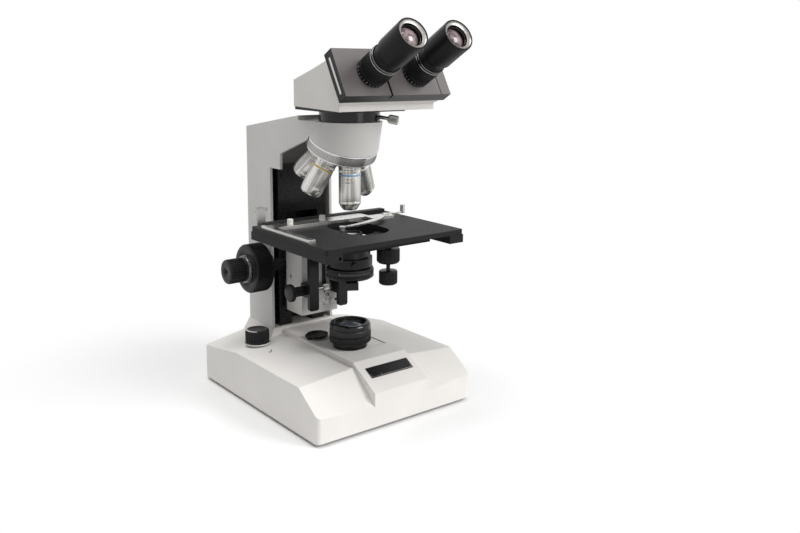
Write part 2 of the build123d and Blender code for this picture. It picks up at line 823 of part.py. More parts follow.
with BuildPart() as thumb_screws:
    with BuildSketch(Plane.XY.offset(bar_high)):
        with Locations(*[(x, thumb_y) for x in thumb_spots]):
            Circle(thumb_radius)
    extrude(amount=thumb_height)
    chamfer(thumb_screws.edges().group_by(Axis.Z)[-1], 0.5)
finish(thumb_screws, "holder_screws")

finger_low = bar_high + face_gap
with BuildPart() as finger:
    run = (finger_tip[0] - finger_pivot[0], finger_tip[1] - finger_pivot[1])
    length = math.hypot(*run)
    inner, outer = [
        (
            (finger_tip[0] + finger_pivot[0]) / 2 - run[1] / length * bow,
            (finger_tip[1] + finger_pivot[1]) / 2 + run[0] / length * bow,
        )
        for bow in finger_bows
    ]
    with BuildSketch(Plane.XY.offset(finger_low)):
        with BuildLine():
            ThreePointArc(finger_pivot, outer, finger_tip)
            ThreePointArc(finger_tip, inner, finger_pivot)
        make_face()
        with Locations(finger_pivot, finger_tip):
            Circle(finger_width)
        with BuildLine() as lever:
            Line(finger_pivot, handle_end)
        trace(lever.line, finger_width - 1)
        with Locations(handle_end):
            Circle(handle_post_radius)
    extrude(amount=finger_thickness)
    disc(upright(*handle_end, finger_low), handle_post_radius, handle_post_height)
    disc(upright(*finger_pivot, bar_low), finger_pin, finger_low - bar_low)
    disc(upright(*finger_tip, bar_low + 0.3), finger_width - 1, finger_low - bar_low - 0.3)
finish(finger, "slide_finger")

# Rear stop: a small bracket on the stage frame and its knurled screw
stop_left = stop_plate[0] - stop_plate[1] / 2
stop_right = stop_plate[0] + stop_plate[1] / 2
stop_back = stage_rear
stop_axis_y = stop_back + stop_thickness + stop_head_radius + free_gap
stop_axis_z = stage_top + stop_plate[2] - stop_head_radius
with BuildPart() as stop_bracket:
    block(stop_left, stop_right, stop_back, stop_back + stop_thickness, frame_high + 1,
          stage_top + stop_plate[2])
    block(stop_right - stop_thickness, stop_right, stop_back, stop_axis_y + stop_head_radius,
          stop_axis_z - stop_head_radius, stage_top + stop_plate[2])
    disc(along_x(stop_left, stop_axis_y, stop_axis_z), stop_rod_radius + running, stop_plate[1],
         Mode.SUBTRACT)
finish(stop_bracket, "stop_bracket")

with BuildPart() as stop_screw:
    disc(along_x(stop_left, stop_axis_y, stop_axis_z), stop_head_radius,
         stop_plate[1] - stop_thickness - face_gap)
    disc(along_x(stop_left, stop_axis_y, stop_axis_z), stop_rod_radius, stop_rod_end - stop_left)
    fillet(stop_screw.edges().group_by(Axis.X)[-1], 1)
finish(stop_screw, "stop_screw")

# Condenser carrier on two dark rails in front of the bracket
with BuildPart() as condenser_rails:
    for side in (-1, 1):
        block(*sorted((side * rail_in, side * rail_out)), rail_front, rail_front + rail_depth, rail_low,
              frame_low - shelf_thickness)
    fillet(condenser_rails.edges().filter_by(Axis.Y).group_by(Axis.Z)[0], rail_round)
    for side in (-1, 1):
        block(*sorted((side * rail_in, side * rail_out)), rail_front + rail_depth, bracket_front,
              cond_drive_z - rail_bearing, cond_drive_z + rail_bearing)
    disc(along_x(-rail_out - 1, cond_drive_y, cond_drive_z), cond_shaft_radius + running,
         rail_out, Mode.SUBTRACT)
finish(condenser_rails, "condenser_rails")

cond_clamp_turn = math.radians(clamp_angle)
cond_clamp_away = Vector(math.cos(cond_clamp_turn), math.sin(cond_clamp_turn), 0)
cond_clamp_level = Vector(0, 0, (carrier_low + carrier_high) / 2)


def cond_clamp_plane(distance):
    return Plane(origin=cond_clamp_level + cond_clamp_away * distance, z_dir=cond_clamp_away)


with BuildPart() as condenser_carrier:
    disc(upright(0, 0, carrier_low), cond_neck + holder_ring_wall, carrier_high - carrier_low)
    block(-carrier_half, carrier_half, 0, bracket_front - face_gap, carrier_low, carrier_high)
    disc(upright(0, 0, carrier_low), cond_neck + running, carrier_high - carrier_low, Mode.SUBTRACT)
    disc(cond_clamp_plane(cond_neck - 2), tommy_radius + running, holder_ring_wall + 4, Mode.SUBTRACT)
    block(rack_middle - rack_half, rack_middle + rack_half, cond_drive_y + cond_pinion_radius + 0.3,
          bracket_front - face_gap, rack_low, carrier_low)
finish(condenser_carrier, "condenser_carrier")

cond_ring_radius = cond_neck + holder_ring_wall
with BuildPart() as condenser_clamp:
    disc(cond_clamp_plane(cond_neck), tommy_radius, holder_ring_wall + 2)
    disc(cond_clamp_plane(cond_ring_radius + 1), cond_clamp_radius, cond_clamp_length)
finish(condenser_clamp, "condenser_clamp")

with BuildPart() as condenser_body:
    disc(upright(0, 0, cond_low), cond_radius, cond_flange)
    fillet(condenser_body.edges().group_by(Axis.Z)[0], 2)
    disc(upright(0, 0, cond_low + cond_flange), cond_neck, cond_neck_top - cond_low - cond_flange)
    disc(upright(0, 0, cond_neck_top), cond_lens_radius + 2, cond_top - cond_neck_top)
    chamfer(condenser_body.edges().group_by(Axis.Z)[-1], 1.5)
    disc(upright(0, 0, cond_low), cond_lens_radius, cond_top - cond_low, Mode.SUBTRACT)
    disc(upright(0, 0, cond_low), iris_ring_radius + running, iris_ring_height + face_gap, Mode.SUBTRACT)
finish(condenser_body, "condenser_body")

with BuildPart() as condenser_lens:
    disc(upright(0, 0, cond_top - 5), cond_lens_radius - running, 4.5)
finish(condenser_lens, "condenser_lens")

with BuildPart() as iris_lever:
    disc(upright(0, 0, cond_low), iris_ring_radius, iris_ring_height)
    with BuildSketch(Plane.XY.offset(iris_lever_low)):
        with Locations(Location((0, 0, 0), (0, 0, iris_lever_angle))):
            with Locations((sum(iris_lever_span) / 2, 0)):
                Rectangle(iris_lever_span[1] - iris_lever_span[0], iris_lever_width)
    extrude(amount=cond_low - face_gap - iris_lever_low)
    with BuildSketch(Plane.XY.offset(iris_lever_low)):
        with Locations(Location((0, 0, 0), (0, 0, iris_lever_angle))):
            with Locations((iris_ring_radius - 3, 0)):
                Rectangle(3, iris_lever_width / 2)
    extrude(amount=cond_low - iris_lever_low)
    disc(upright(0, 0, iris_lever_low), cond_lens_radius, cond_top, Mode.SUBTRACT)
finish(iris_lever, "iris_lever")

with BuildPart() as condenser_knob:
    face = along_x(-rail_out - face_gap, cond_drive_y, cond_drive_z, -1)
    disc(face, cond_grip_radius, cond_knob_end - rail_out - cond_disc_thickness + merge)
    disc(along_x(-cond_knob_end, cond_drive_y, cond_drive_z), cond_disc_radius, cond_disc_thickness)
    disc(along_x(-cond_knob_end + merge, cond_drive_y, cond_drive_z), cond_shaft_radius,
         cond_knob_end + cond_shaft_end - merge)
    disc(along_x(cond_pinion_start, cond_drive_y, cond_drive_z), cond_pinion_radius, cond_pinion_width)
finish(condenser_knob, "condenser_knob")

# Turret with five places, four objectives and a plug
with BuildPart() as turret:
    with BuildSketch(Plane(origin=(0, 0, apex_z), x_dir=(1, 0, 0), z_dir=(0, lean_cos, lean_sin))) as section:
        Polygon(
            (0, turret_start + face_gap),
            (turret_radius, turret_start + face_gap),
            (turret_radius, turret_start + turret_rim),
            (turret_radius - 2.5, turret_start + turret_rim + 1),
            (turret_hub, turret_depth),
            (0, turret_depth),
            align=None,
        )
    revolve(axis=Axis((0, 0, apex_z), (0, -lean_sin, lean_cos)))
    for index in range(stations):
        disc(station_plane(index, seat_distance - station_depth), barrel_radius + station_rim, station_depth)
    for index in range(stations):
        disc(station_plane(index, turret_start), turret_bore, seat_distance, Mode.SUBTRACT)
        disc(station_plane(index, seat_distance - thread_length - 0.5), thread_radius + running,
             seat_distance, Mode.SUBTRACT)
    disc(turret_plane(turret_start - 2), stud_radius + running, stud_length + 6, Mode.SUBTRACT)
finish(turret, "turret")

objective_names = ("objective_40", "objective_100", "turret_plug", "objective_4", "objective_10")
for index, name in enumerate(objective_names):
    reach = objective_lengths[index]
    with BuildPart() as objective:
        disc(station_plane(index, seat_distance - thread_length), thread_radius, thread_length)
        if tip_radii[index] > 0:
            waist = tip_radii[index] + tip_flare
            disc(station_plane(index, seat_distance), barrel_radius, reach - tip_taper)
            with BuildSketch(station_plane(index, seat_distance + reach - tip_taper)):
                Circle(barrel_radius)
            with BuildSketch(station_plane(index, seat_distance + reach - tip_round)):
                Circle(waist)
            loft()
            with BuildSketch(station_plane(index, seat_distance + reach - tip_round)):
                Circle(waist)
            with BuildSketch(station_plane(index, seat_distance + reach)):
                Circle(tip_radii[index])
            loft()
            disc(station_plane(index, seat_distance - thread_length), front_lens_radii[index],
                 seat_distance + reach, Mode.SUBTRACT)
        else:
            disc(station_plane(index, seat_distance), barrel_radius, plug_height)
    finish(objective, name)

# Head seat, a dark ring on the nose, and its clamp screw
clamp_turn = math.radians(clamp_azimuth)
clamp_fall = math.radians(clamp_dip)
clamp_direction = (
    math.cos(clamp_turn) * math.cos(clamp_fall),
    math.sin(clamp_turn) * math.cos(clamp_fall),
    -math.sin(clamp_fall),
)
clamp_level = (nose_top + head_low) / 2
clamp_away = Vector(math.cos(clamp_turn), math.sin(clamp_turn), 0)
clamp_start = clamp_away * (seat_bore + clamp_reach) + Vector(0, 0, clamp_level)


def clamp_plane(distance):
    return Plane(origin=clamp_start + Vector(*clamp_direction) * distance, z_dir=clamp_direction)


with BuildPart() as head_seat:
    disc(upright(0, 0, nose_top), seat_radius, head_low - face_gap - nose_top)
    disc(upright(0, 0, nose_top), seat_bore + running, head_low - nose_top, Mode.SUBTRACT)
    disc(clamp_plane(-3), clamp_neck_radius + running, seat_radius, Mode.SUBTRACT)
finish(head_seat, "head_seat")

clamp_neck = seat_radius - seat_bore - clamp_reach + clamp_neck_length
with BuildPart() as clamp_screw:
    disc(clamp_plane(0), clamp_neck_radius, clamp_neck)
    disc(clamp_plane(clamp_neck), clamp_head_radius, clamp_head_length)
finish(clamp_screw, "head_clamp_screw")

# Head: a plate with a spigot, a hollow body, a sloping frame and two slides with the tubes
tilt_sin = math.sin(math.radians(tilt))
tilt_cos = math.cos(math.radians(tilt))


def face_plane(x, forward=0):
    place = (x, tube_y - forward * tilt_cos, tube_z + forward * tilt_sin)
    return Plane(origin=place, x_dir=(1, 0, 0), z_dir=(0, -tilt_cos, tilt_sin))


def slab(x0, x1, low, high, back, front, mode=Mode.ADD):
    with BuildSketch(face_plane(0, back)) as outline:
        with Locations(((x0 + x1) / 2, (low + high) / 2)):
            Rectangle(x1 - x0, high - low)
    extrude(outline.sketch, amount=front - back, mode=mode)


def head_shape(inset):
    with BuildPart(mode=Mode.PRIVATE) as shape:
        with BuildSketch(Plane.YZ.offset(-head_front_half)):
            with BuildLine():
                Polyline(*head_points, close=True)
            make_face()
            if inset > 0:
                offset(amount=-inset, mode=Mode.REPLACE)
        extrude(amount=2 * head_front_half)
        with BuildSketch(Plane.XY.offset(head_low)):
            with BuildLine():
                Polyline(
                    (-head_back_half + inset, head_plate[2] - inset),
                    (head_back_half - inset, head_plate[2] - inset),
                    (head_front_half - inset, head_front),
                    (head_front_half - inset, head_front - block_thickness),
                    (-head_front_half + inset, head_front - block_thickness),
                    (-head_front_half + inset, head_front),
                    close=True,
                )
            make_face()
        extrude(amount=tube_z, mode=Mode.INTERSECT)
    return shape.part


with BuildPart() as head_base:
    block(-head_plate[0], head_plate[0], head_plate[1], head_plate[2], head_low, head_low + head_plate[3])
    fillet(head_base.edges().filter_by(Axis.Z), 3)
    disc(upright(0, 0, nose_top + 1), seat_bore, head_low - spigot_seam - nose_top - 1)
    disc(upright(0, 0, nose_top), light_bore, head_low, Mode.SUBTRACT)
finish(head_base, "head_plate")

with BuildPart() as head_body:
    add(head_shape(0))
    add(head_shape(head_wall), mode=Mode.SUBTRACT)
    disc(upright(0, 0, head_low), light_bore, 10, Mode.SUBTRACT)
    for side in (-1, 1):
        disc(face_plane(side * eye_spread / 2, -block_thickness - light_window), tube_bore + spread_room,
             light_window + merge, Mode.SUBTRACT)
finish(head_body, "head_body")

head_floor = head_low + head_plate[3] + head_wall
with BuildPart() as head_prism:
    block(-prism_half, prism_half, -prism_half, prism_half, head_floor, head_floor + prism_height)
finish(head_prism, "head_prism")

tongue_bands = ((tongue_inner, tongue_outer), (-tongue_outer, -tongue_inner))
seam = -slide_thickness
with BuildPart() as head_frame:
    slab(-block_half, block_half, -block_low, block_high, -block_thickness, seam - face_gap)
    for low, high in tongue_bands:
        slab(-block_half, block_half, low - running, high + running, seam - tongue_rise - face_gap, seam,
             Mode.SUBTRACT)
    for side in (-1, 1):
        with BuildSketch(face_plane(side * (eye_spread + spread_travel) / 2, -block_thickness)) as window:
            SlotCenterToCenter(spread_travel, 2 * tube_bore - 3)
        extrude(window.sketch, amount=block_thickness, mode=Mode.SUBTRACT)
finish(head_frame, "head_frame")

slide_ends = ((-block_half, split_left), (split_right, block_half))
for side, name, ends in ((-1, "left", slide_ends[0]), (1, "right", slide_ends[1])):
    eye_x = side * eye_spread / 2
    with BuildPart() as tube_slide:
        slab(ends[0], ends[1], -block_low, block_high, seam, 0)
        for low, high in tongue_bands:
            slab(ends[0], ends[1], low, high, seam - tongue_rise, seam)
        disc(face_plane(eye_x), tube_radius, tube_top)
        disc(face_plane(eye_x, -block_thickness), tube_bore, 2 * tube_length, Mode.SUBTRACT)
    finish(tube_slide, f"tube_slide_{name}")

    with BuildPart() as diopter:
        disc(face_plane(eye_x, face_gap), diopter_radius, diopter_length - face_gap)
        disc(face_plane(eye_x), tube_radius + running, diopter_length, Mode.SUBTRACT)
        disc(face_plane(eye_x, tube_top), eye_neck_radius + running, diopter_length, Mode.SUBTRACT)
    finish(diopter, f"diopter_{name}")

    with BuildPart() as crown:
        disc(face_plane(eye_x, diopter_length), diopter_radius + 0.2, crown_length)
        disc(face_plane(eye_x, diopter_length), eye_neck_radius + running, crown_length, Mode.SUBTRACT)
    finish(crown, f"diopter_crown_{name}")

    neck_low = tube_top + focus_play + free_gap
    with BuildPart() as eyepiece:
        disc(face_plane(eye_x, eye_sleeve_low), tube_bore - running, neck_low - eye_sleeve_low)
        disc(face_plane(eye_x, neck_low), eye_neck_radius, eye_barrel_low - neck_low)
        disc(face_plane(eye_x, eye_barrel_low), eye_barrel_radius, eye_barrel_end - eye_barrel_low)
        disc(face_plane(eye_x, eye_sleeve_low), eye_bore, eye_barrel_end, Mode.SUBTRACT)
        with BuildSketch(face_plane(eye_x, eye_barrel_end - eye_cup_depth)):
            Circle(eye_bore)
        with BuildSketch(face_plane(eye_x, eye_barrel_end)):
            Circle(eye_barrel_radius - eye_rim)
        loft(mode=Mode.SUBTRACT)
    finish(eyepiece, f"eyepiece_{name}")

    with BuildPart() as eye_lens:
        disc(face_plane(eye_x, eye_barrel_end - eye_cup_depth - eye_lens_thickness), eye_bore - running,
             eye_lens_thickness)
    finish(eye_lens, f"eye_lens_{name}")
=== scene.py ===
import math
import bmesh
import bpy
from mathutils import Matrix, Vector
from mathutils.bvhtree import BVHTree


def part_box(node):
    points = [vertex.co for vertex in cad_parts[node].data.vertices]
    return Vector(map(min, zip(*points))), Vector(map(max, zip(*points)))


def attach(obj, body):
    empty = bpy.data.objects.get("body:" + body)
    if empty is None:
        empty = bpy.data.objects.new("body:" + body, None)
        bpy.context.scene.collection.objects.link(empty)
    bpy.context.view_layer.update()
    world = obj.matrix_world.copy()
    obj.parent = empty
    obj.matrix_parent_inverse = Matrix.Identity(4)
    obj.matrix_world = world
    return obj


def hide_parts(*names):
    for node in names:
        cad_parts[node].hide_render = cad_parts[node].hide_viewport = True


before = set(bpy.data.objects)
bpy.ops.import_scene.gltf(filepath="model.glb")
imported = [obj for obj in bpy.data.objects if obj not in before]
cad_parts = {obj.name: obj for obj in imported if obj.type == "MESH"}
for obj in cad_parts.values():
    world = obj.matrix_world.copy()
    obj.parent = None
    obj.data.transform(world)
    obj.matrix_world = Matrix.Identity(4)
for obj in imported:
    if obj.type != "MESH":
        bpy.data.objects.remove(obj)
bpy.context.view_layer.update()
mm = 0.001


class Wire:  # one output socket, so that shader maths reads as arithmetic
    def __init__(self, paint, socket):
        self.paint, self.socket = paint, socket

    def maths(self, operation, first, second):
        kind = "ShaderNodeVectorMath" if isVector(first) or isVector(second) else "ShaderNodeMath"
        return self.paint.node(kind, {"operation": operation}, {0: first, 1: second})

    def __add__(self, other):
        return self.maths("ADD", self, other)

    def __radd__(self, other):
        return self.maths("ADD", other, self)

    def __sub__(self, other):
        return self.maths("SUBTRACT", self, other)

    def __rsub__(self, other):
        return self.maths("SUBTRACT", other, self)

    def __mul__(self, other):
        return self.maths("MULTIPLY", self, other)

    def __rmul__(self, other):
        return self.maths("MULTIPLY", other, self)


def isVector(value):
    return isinstance(value, tuple) or isinstance(value, Wire) and value.socket.type == "VECTOR"


class Paint:  # the nodes of a material or of the world, built in plain steps
    inputs = {"color": "Base Color", "roughness": "Roughness", "metallic": "Metallic", "coat": "Coat Weight",
              "normal": "Normal", "specular": "Specular IOR Level"}

    def __init__(self, owner, shader="Principled BSDF"):
        owner.use_nodes = True
        self.owner = owner
        self.tree = owner.node_tree
        self.shader = self.tree.nodes[shader]

    def node(self, kind, settings=None, values=None, out=0):
        made = self.tree.nodes.new(kind)
        for key, value in (settings or {}).items():
            setattr(made, key, value)
        for key, value in (values or {}).items():
            self.feed(made.inputs[key], value)
        return Wire(self, made.outputs[out])

    def feed(self, socket, value):
        if isinstance(value, Wire):
            self.tree.links.new(value.socket, socket)
        else:
            if isinstance(value, tuple) and socket.type == "RGBA":
                value = (*value, 1)
            socket.default_value = value

    def set(self, **values):
        for key, value in values.items():
            self.feed(self.shader.inputs[self.inputs[key]], value)

    def where(self):
        return self.node("ShaderNodeTexCoord", out=3)

    def noise(self, scale, detail=3, roughness=0.5, place=None, stretch=None):
        place = place or self.where()
        if stretch:
            place = self.node("ShaderNodeMapping", {}, {0: place, "Scale": stretch})
        return self.node("ShaderNodeTexNoise", {},
                         {"Vector": place, "Scale": scale, "Detail": detail, "Roughness": roughness})

    def ramp(self, value, low, high, start=0.0, end=1.0):
        return self.node("ShaderNodeMapRange", {"clamp": True}, {0: value, 1: low, 2: high, 3: start, 4: end})

    def mix(self, factor, first, second):
        return self.node("ShaderNodeMix", {"data_type": "RGBA"}, {0: factor, 6: first, 7: second}, out=2)

    def maximum(self, first, second):
        return self.node("ShaderNodeMath", {"operation": "MAXIMUM"}, {0: first, 1: second})

    def relief(self, height, strength, distance, edge=0.0):
        values = {"Height": height, "Strength": strength, "Distance": distance}
        if edge > 0:
            values["Normal"] = self.node("ShaderNodeBevel", {"samples": 6}, {"Radius": edge})
        return self.node("ShaderNodeBump", {}, values)

    def seen(self):  # 1 for what the camera, a mirror or glass sees, 0 for the rays that light the object
        ray = self.node("ShaderNodeLightPath")
        mirrored, through = (Wire(self, ray.socket.node.outputs[f"Is {kind} Ray"])
                             for kind in ("Glossy", "Transmission"))
        return self.maximum(self.maximum(ray, mirrored), through)


def linear(shade):  # a screen colour of 0 to 255 as linear light
    return tuple(((c / 255 + 0.055) / 1.055) ** 2.4 if c > 10 else c / 255 / 12.92 for c in shade)


def shifted(shade, step):
    return linear(tuple(max(0, min(255, c + step)) for c in shade))


# Painted and moulded finishes share one recipe: a tint that wanders, dust, and a fine relief.
# Noise scales count per metre; grain depth and rounded edges are in mm.
coatLook = {"broad": 18, "lint": 900, "lintFrom": (0.62, 0.74), "lintShade": 60, "roughSpread": 0.1,
            "relief": 0.25}


def coatFinish(name, shade, rough, grain, grainDepth, edge=0.5, wander=5, coat=0.0, dust=0.0, specular=0.5):
    look = coatLook
    paint = Paint(bpy.data.materials.new(name))
    broad = paint.ramp(paint.noise(look["broad"]), 0.3, 0.7)
    fine = paint.noise(grain, 2, 0.6)
    tint = paint.mix(broad, shifted(shade, -wander), shifted(shade, wander))
    if dust:
        lint = paint.ramp(paint.noise(look["lint"], 4, 0.7), *look["lintFrom"], 0, dust)
        tint = paint.mix(lint, tint, shifted(shade, look["lintShade"]))
    speck = paint.ramp(fine, 0.35, 0.65)
    paint.set(color=tint, roughness=rough - look["roughSpread"] / 2 + look["roughSpread"] * speck, coat=coat,
              specular=specular, normal=paint.relief(fine, look["relief"], grainDepth * mm, edge * mm))
    return paint.owner


metalLook = {"lines": 60, "marks": 45, "relief": 0.2}


def metalFinish(name, shade, rough, streak, edge=0.25, depth=0.02, smudge=0.12, wander=10):
    look = metalLook
    paint = Paint(bpy.data.materials.new(name))
    lines = paint.noise(look["lines"], 4, 0.6, stretch=streak)
    marks = paint.ramp(paint.noise(look["marks"], 5, 0.6), 0.4, 0.7)
    tint = paint.mix(paint.ramp(lines, 0.3, 0.7), shifted(shade, -wander), shifted(shade, wander))
    paint.set(color=tint, metallic=1.0, roughness=rough + smudge * marks,
              normal=paint.relief(lines, look["relief"], depth * mm, edge * mm))
    return paint.owner


# The tube slides are black on every side; their sloping face is painted grey as a painted reflection, picked
# by which way each face points
tilt = math.radians(30)  # how far the eyepieces lean back
slideSheenLook = {"face": (112, 108, 107), "side": (24, 24, 25), "toUser": (0, -math.cos(tilt), math.sin(tilt)),
             "turn": (0.96, 0.985), "broad": 18, "grain": 1500, "rough": 0.34}


def slideSheenFinish(name):
    look = slideSheenLook
    paint = Paint(bpy.data.materials.new(name))
    normal = paint.node("ShaderNodeNewGeometry", out=3)
    facing = paint.node("ShaderNodeVectorMath", {"operation": "DOT_PRODUCT"},
                        {0: normal, 1: look["toUser"]}, out=1)
    fine = paint.noise(look["grain"], 2, 0.6)
    broad = paint.ramp(paint.noise(look["broad"]), 0.3, 0.7)
    # sheenGrey is the painted reflection on the face toward the user; dark is the plates' own black
    sheenGrey = paint.mix(broad, shifted(look["face"], -3), shifted(look["face"], 3))
    dark = paint.mix(broad, shifted(look["side"], -2), shifted(look["side"], 3))
    paint.set(color=paint.mix(paint.ramp(facing, *look["turn"]), dark, sheenGrey), specular=0.25,
              roughness=look["rough"] + 0.08 * fine, normal=paint.relief(fine, 0.2, 0.03 * mm, 0.4 * mm))
    return paint.owner


# Brushed barrels: streaks that run along each objective, and broad dark bands painted along it as reflections
# of dark surroundings, worked out round its own axis
barrelStreakReflectionLook = {"shade": (208, 206, 202), "rough": 0.18, "streak": (6, 6, 0.3), "fine": 70, "broad": 34,
              "dark": -120, "share": 0.55}


def barrelStreakReflectionFinish(name, at):
    look = barrelStreakReflectionLook
    paint = Paint(bpy.data.materials.new(name))
    spot, turn = tuple(at.translation), tuple(at.to_euler("XYZ"))
    own = paint.node("ShaderNodeMapping", {"vector_type": "TEXTURE"},
                     {0: paint.where(), "Location": spot, "Rotation": turn})
    fine = paint.noise(look["fine"], 5, 0.65, own, look["streak"])
    broad = paint.noise(look["broad"], 1, 0.5, own, look["streak"])
    tint = paint.mix(paint.ramp(fine, 0.3, 0.7), shifted(look["shade"], -20), shifted(look["shade"], 24))
    # broad dark bands: painted reflection, not brushing
    dark = paint.ramp(broad, 0.5, 0.6, 0, look["share"])
    tint = paint.mix(dark, tint, shifted(look["shade"], look["dark"]))
    paint.set(color=tint, metallic=0.8, roughness=look["rough"] + 0.1 * fine,
              normal=paint.relief(fine, 0.25, 0.02 * mm, 0.2 * mm))
    return paint.owner


# Coated glass: the tint seen aslant is a painted sheen, and the noise patches mixed into it are painted
# glints
def lensFinish(name, deep, edge):  # coated glass: dark within, tinted where it is seen aslant
    paint = Paint(bpy.data.materials.new(name))
    sheenAslant = paint.node("ShaderNodeLayerWeight", {}, {"Blend": 0.35}, out=1)
    paintedGlints = paint.ramp(paint.noise(190, 2), 0.42, 0.6, 0, 0.75)
    paint.set(color=paint.mix(sheenAslant + paintedGlints, linear(deep), linear(edge)), roughness=0.03, coat=0.4,
              normal=paint.relief(paint.noise(60, 1), 0.02, 0.01 * mm))
    return paint.owner


finishes = {
    # shade, roughness, grain, grain depth, rounded edge, wander
    # One light grey enamel in three copies: the base's and the head's are painted lighter and the arm's
    # darker, as lit and shaded copies of the same paint
    "enamel": coatFinish("lightGreyEnamelShadedCopy", (208, 206, 203), 0.42, 1400, 0.05, 0.9, 3, coat=0.1),
    "litBaseEnamel": coatFinish("litBaseEnamel", (230, 227, 223), 0.55, 1400, 0.05, 1.4, 3, specular=0.2),
    "litHeadEnamel": coatFinish("litHeadEnamel", (223, 220, 216), 0.52, 1300, 0.05, 1.0, 3, specular=0.22),
    "slidePaintedSheen": slideSheenFinish("slidePaintedSheen"),
    "satinBlack": coatFinish("satinBlack", (22, 22, 23), 0.34, 1100, 0.06, 0.5, 3, dust=0.05, specular=0.2),
    "plateBlack": coatFinish("guideCoverBlack", (20, 20, 21), 0.3, 500, 0.03, 0.6, 2,
                             dust=0.04, specular=0.25),
    "stageBlack": coatFinish("stageCrackleBlack", (34, 34, 35), 0.55, 2600, 0.1, 0.4, 3,
                             dust=0.12, specular=0.12),
    "knobBlack": coatFinish("knobPlastic", (24, 24, 25), 0.36, 1700, 0.03, 0.3, 2, dust=0.06, specular=0.18),
    "gripBlack": coatFinish("eyepieceBlack", (18, 18, 20), 0.42, 2000, 0.03, 0.25, 2,
                            dust=0.05, specular=0.16),
    "glossBlack": coatFinish("glossBlack", (10, 10, 11), 0.14, 900, 0.01, 0.3, 1, specular=0.35),
    "anodised": coatFinish("blackAnodised", (26, 26, 28), 0.34, 2200, 0.02, 0.3, 3, dust=0.06, specular=0.22),
    "rubber": coatFinish("footRubber", (34, 33, 32), 0.75, 1200, 0.15, 0.5, 4, specular=0.2),
    "labelBlack": coatFinish("plateInk", (18, 18, 20), 0.3, 800, 0.02, 0.2, 2, dust=0.03, specular=0.25),
    "whiteInk": coatFinish("whiteInk", (226, 226, 222), 0.5, 3000, 0.01, 0.0, 3),
    "darkInk": coatFinish("darkInk", (52, 52, 54), 0.5, 3000, 0.01, 0.0, 3),
    "yellowRing": coatFinish("yellowBand", (212, 186, 92), 0.35, 2500, 0.02, 0.1, 4),
    "redRing": coatFinish("redBand", (214, 196, 190), 0.35, 2500, 0.02, 0.1, 4),
    "blueRing": coatFinish("blueBand", (132, 172, 204), 0.35, 2500, 0.02, 0.1, 4),
    "whiteRing": coatFinish("whiteBand", (232, 232, 230), 0.35, 2500, 0.02, 0.1, 3),
    "whiteCap": coatFinish("palePlastic", (226, 224, 218), 0.4, 1800, 0.03, 0.3, 3),
    "board": coatFinish("boardMask", (34, 84, 52), 0.35, 900, 0.04, 0.2, 5),
    # shade, roughness, stretch of the streaks, rounded edge, depth, smudges, wander
    "chrome": metalFinish("brightChrome", (205, 205, 205), 0.13, (1, 1, 14)),
    # A darker copy of chrome, painted as shaded reflections; the fine dial and the crowns' second line wear
    # it
    "shadedChrome": metalFinish("shadedChrome", (104, 103, 102), 0.2, (1, 1, 14), 0.15, 0.01, 0.1, 8),
    "satinChrome": metalFinish("satinChrome", (190, 189, 187), 0.26, (1, 1, 30), 0.2, 0.03),
    "gripMetal": metalFinish("knurledGripMetal", (128, 125, 121), 0.3, (40, 40, 2), 0.12, 0.02),
    "mouthMetal": metalFinish("mouthRingMetal", (158, 155, 151), 0.3, (2, 2, 9), 0.15, 0.02),
    "turnedSteel": metalFinish("turnedSteel", (172, 171, 168), 0.28, (1, 1, 40), 0.2, 0.04),
    "groundSteel": metalFinish("groundSteel", (188, 187, 184), 0.26, (26, 1, 26), 0.25, 0.04),
    "milledAlloy": metalFinish("milledAlloy", (168, 167, 166), 0.34, (30, 2, 30), 0.3, 0.05),
    # shade within, shade of the painted sheen aslant
    "eyeGlass": lensFinish("eyeLensCoating", (52, 38, 40), (158, 138, 140)),
    "fieldGlass": lensFinish("fieldLensCoating", (30, 33, 38), (92, 98, 106)),
    "tipGlass": lensFinish("tipLensCoating", (26, 30, 44), (120, 132, 160)),
}
print("finishes ready:", len(finishes))

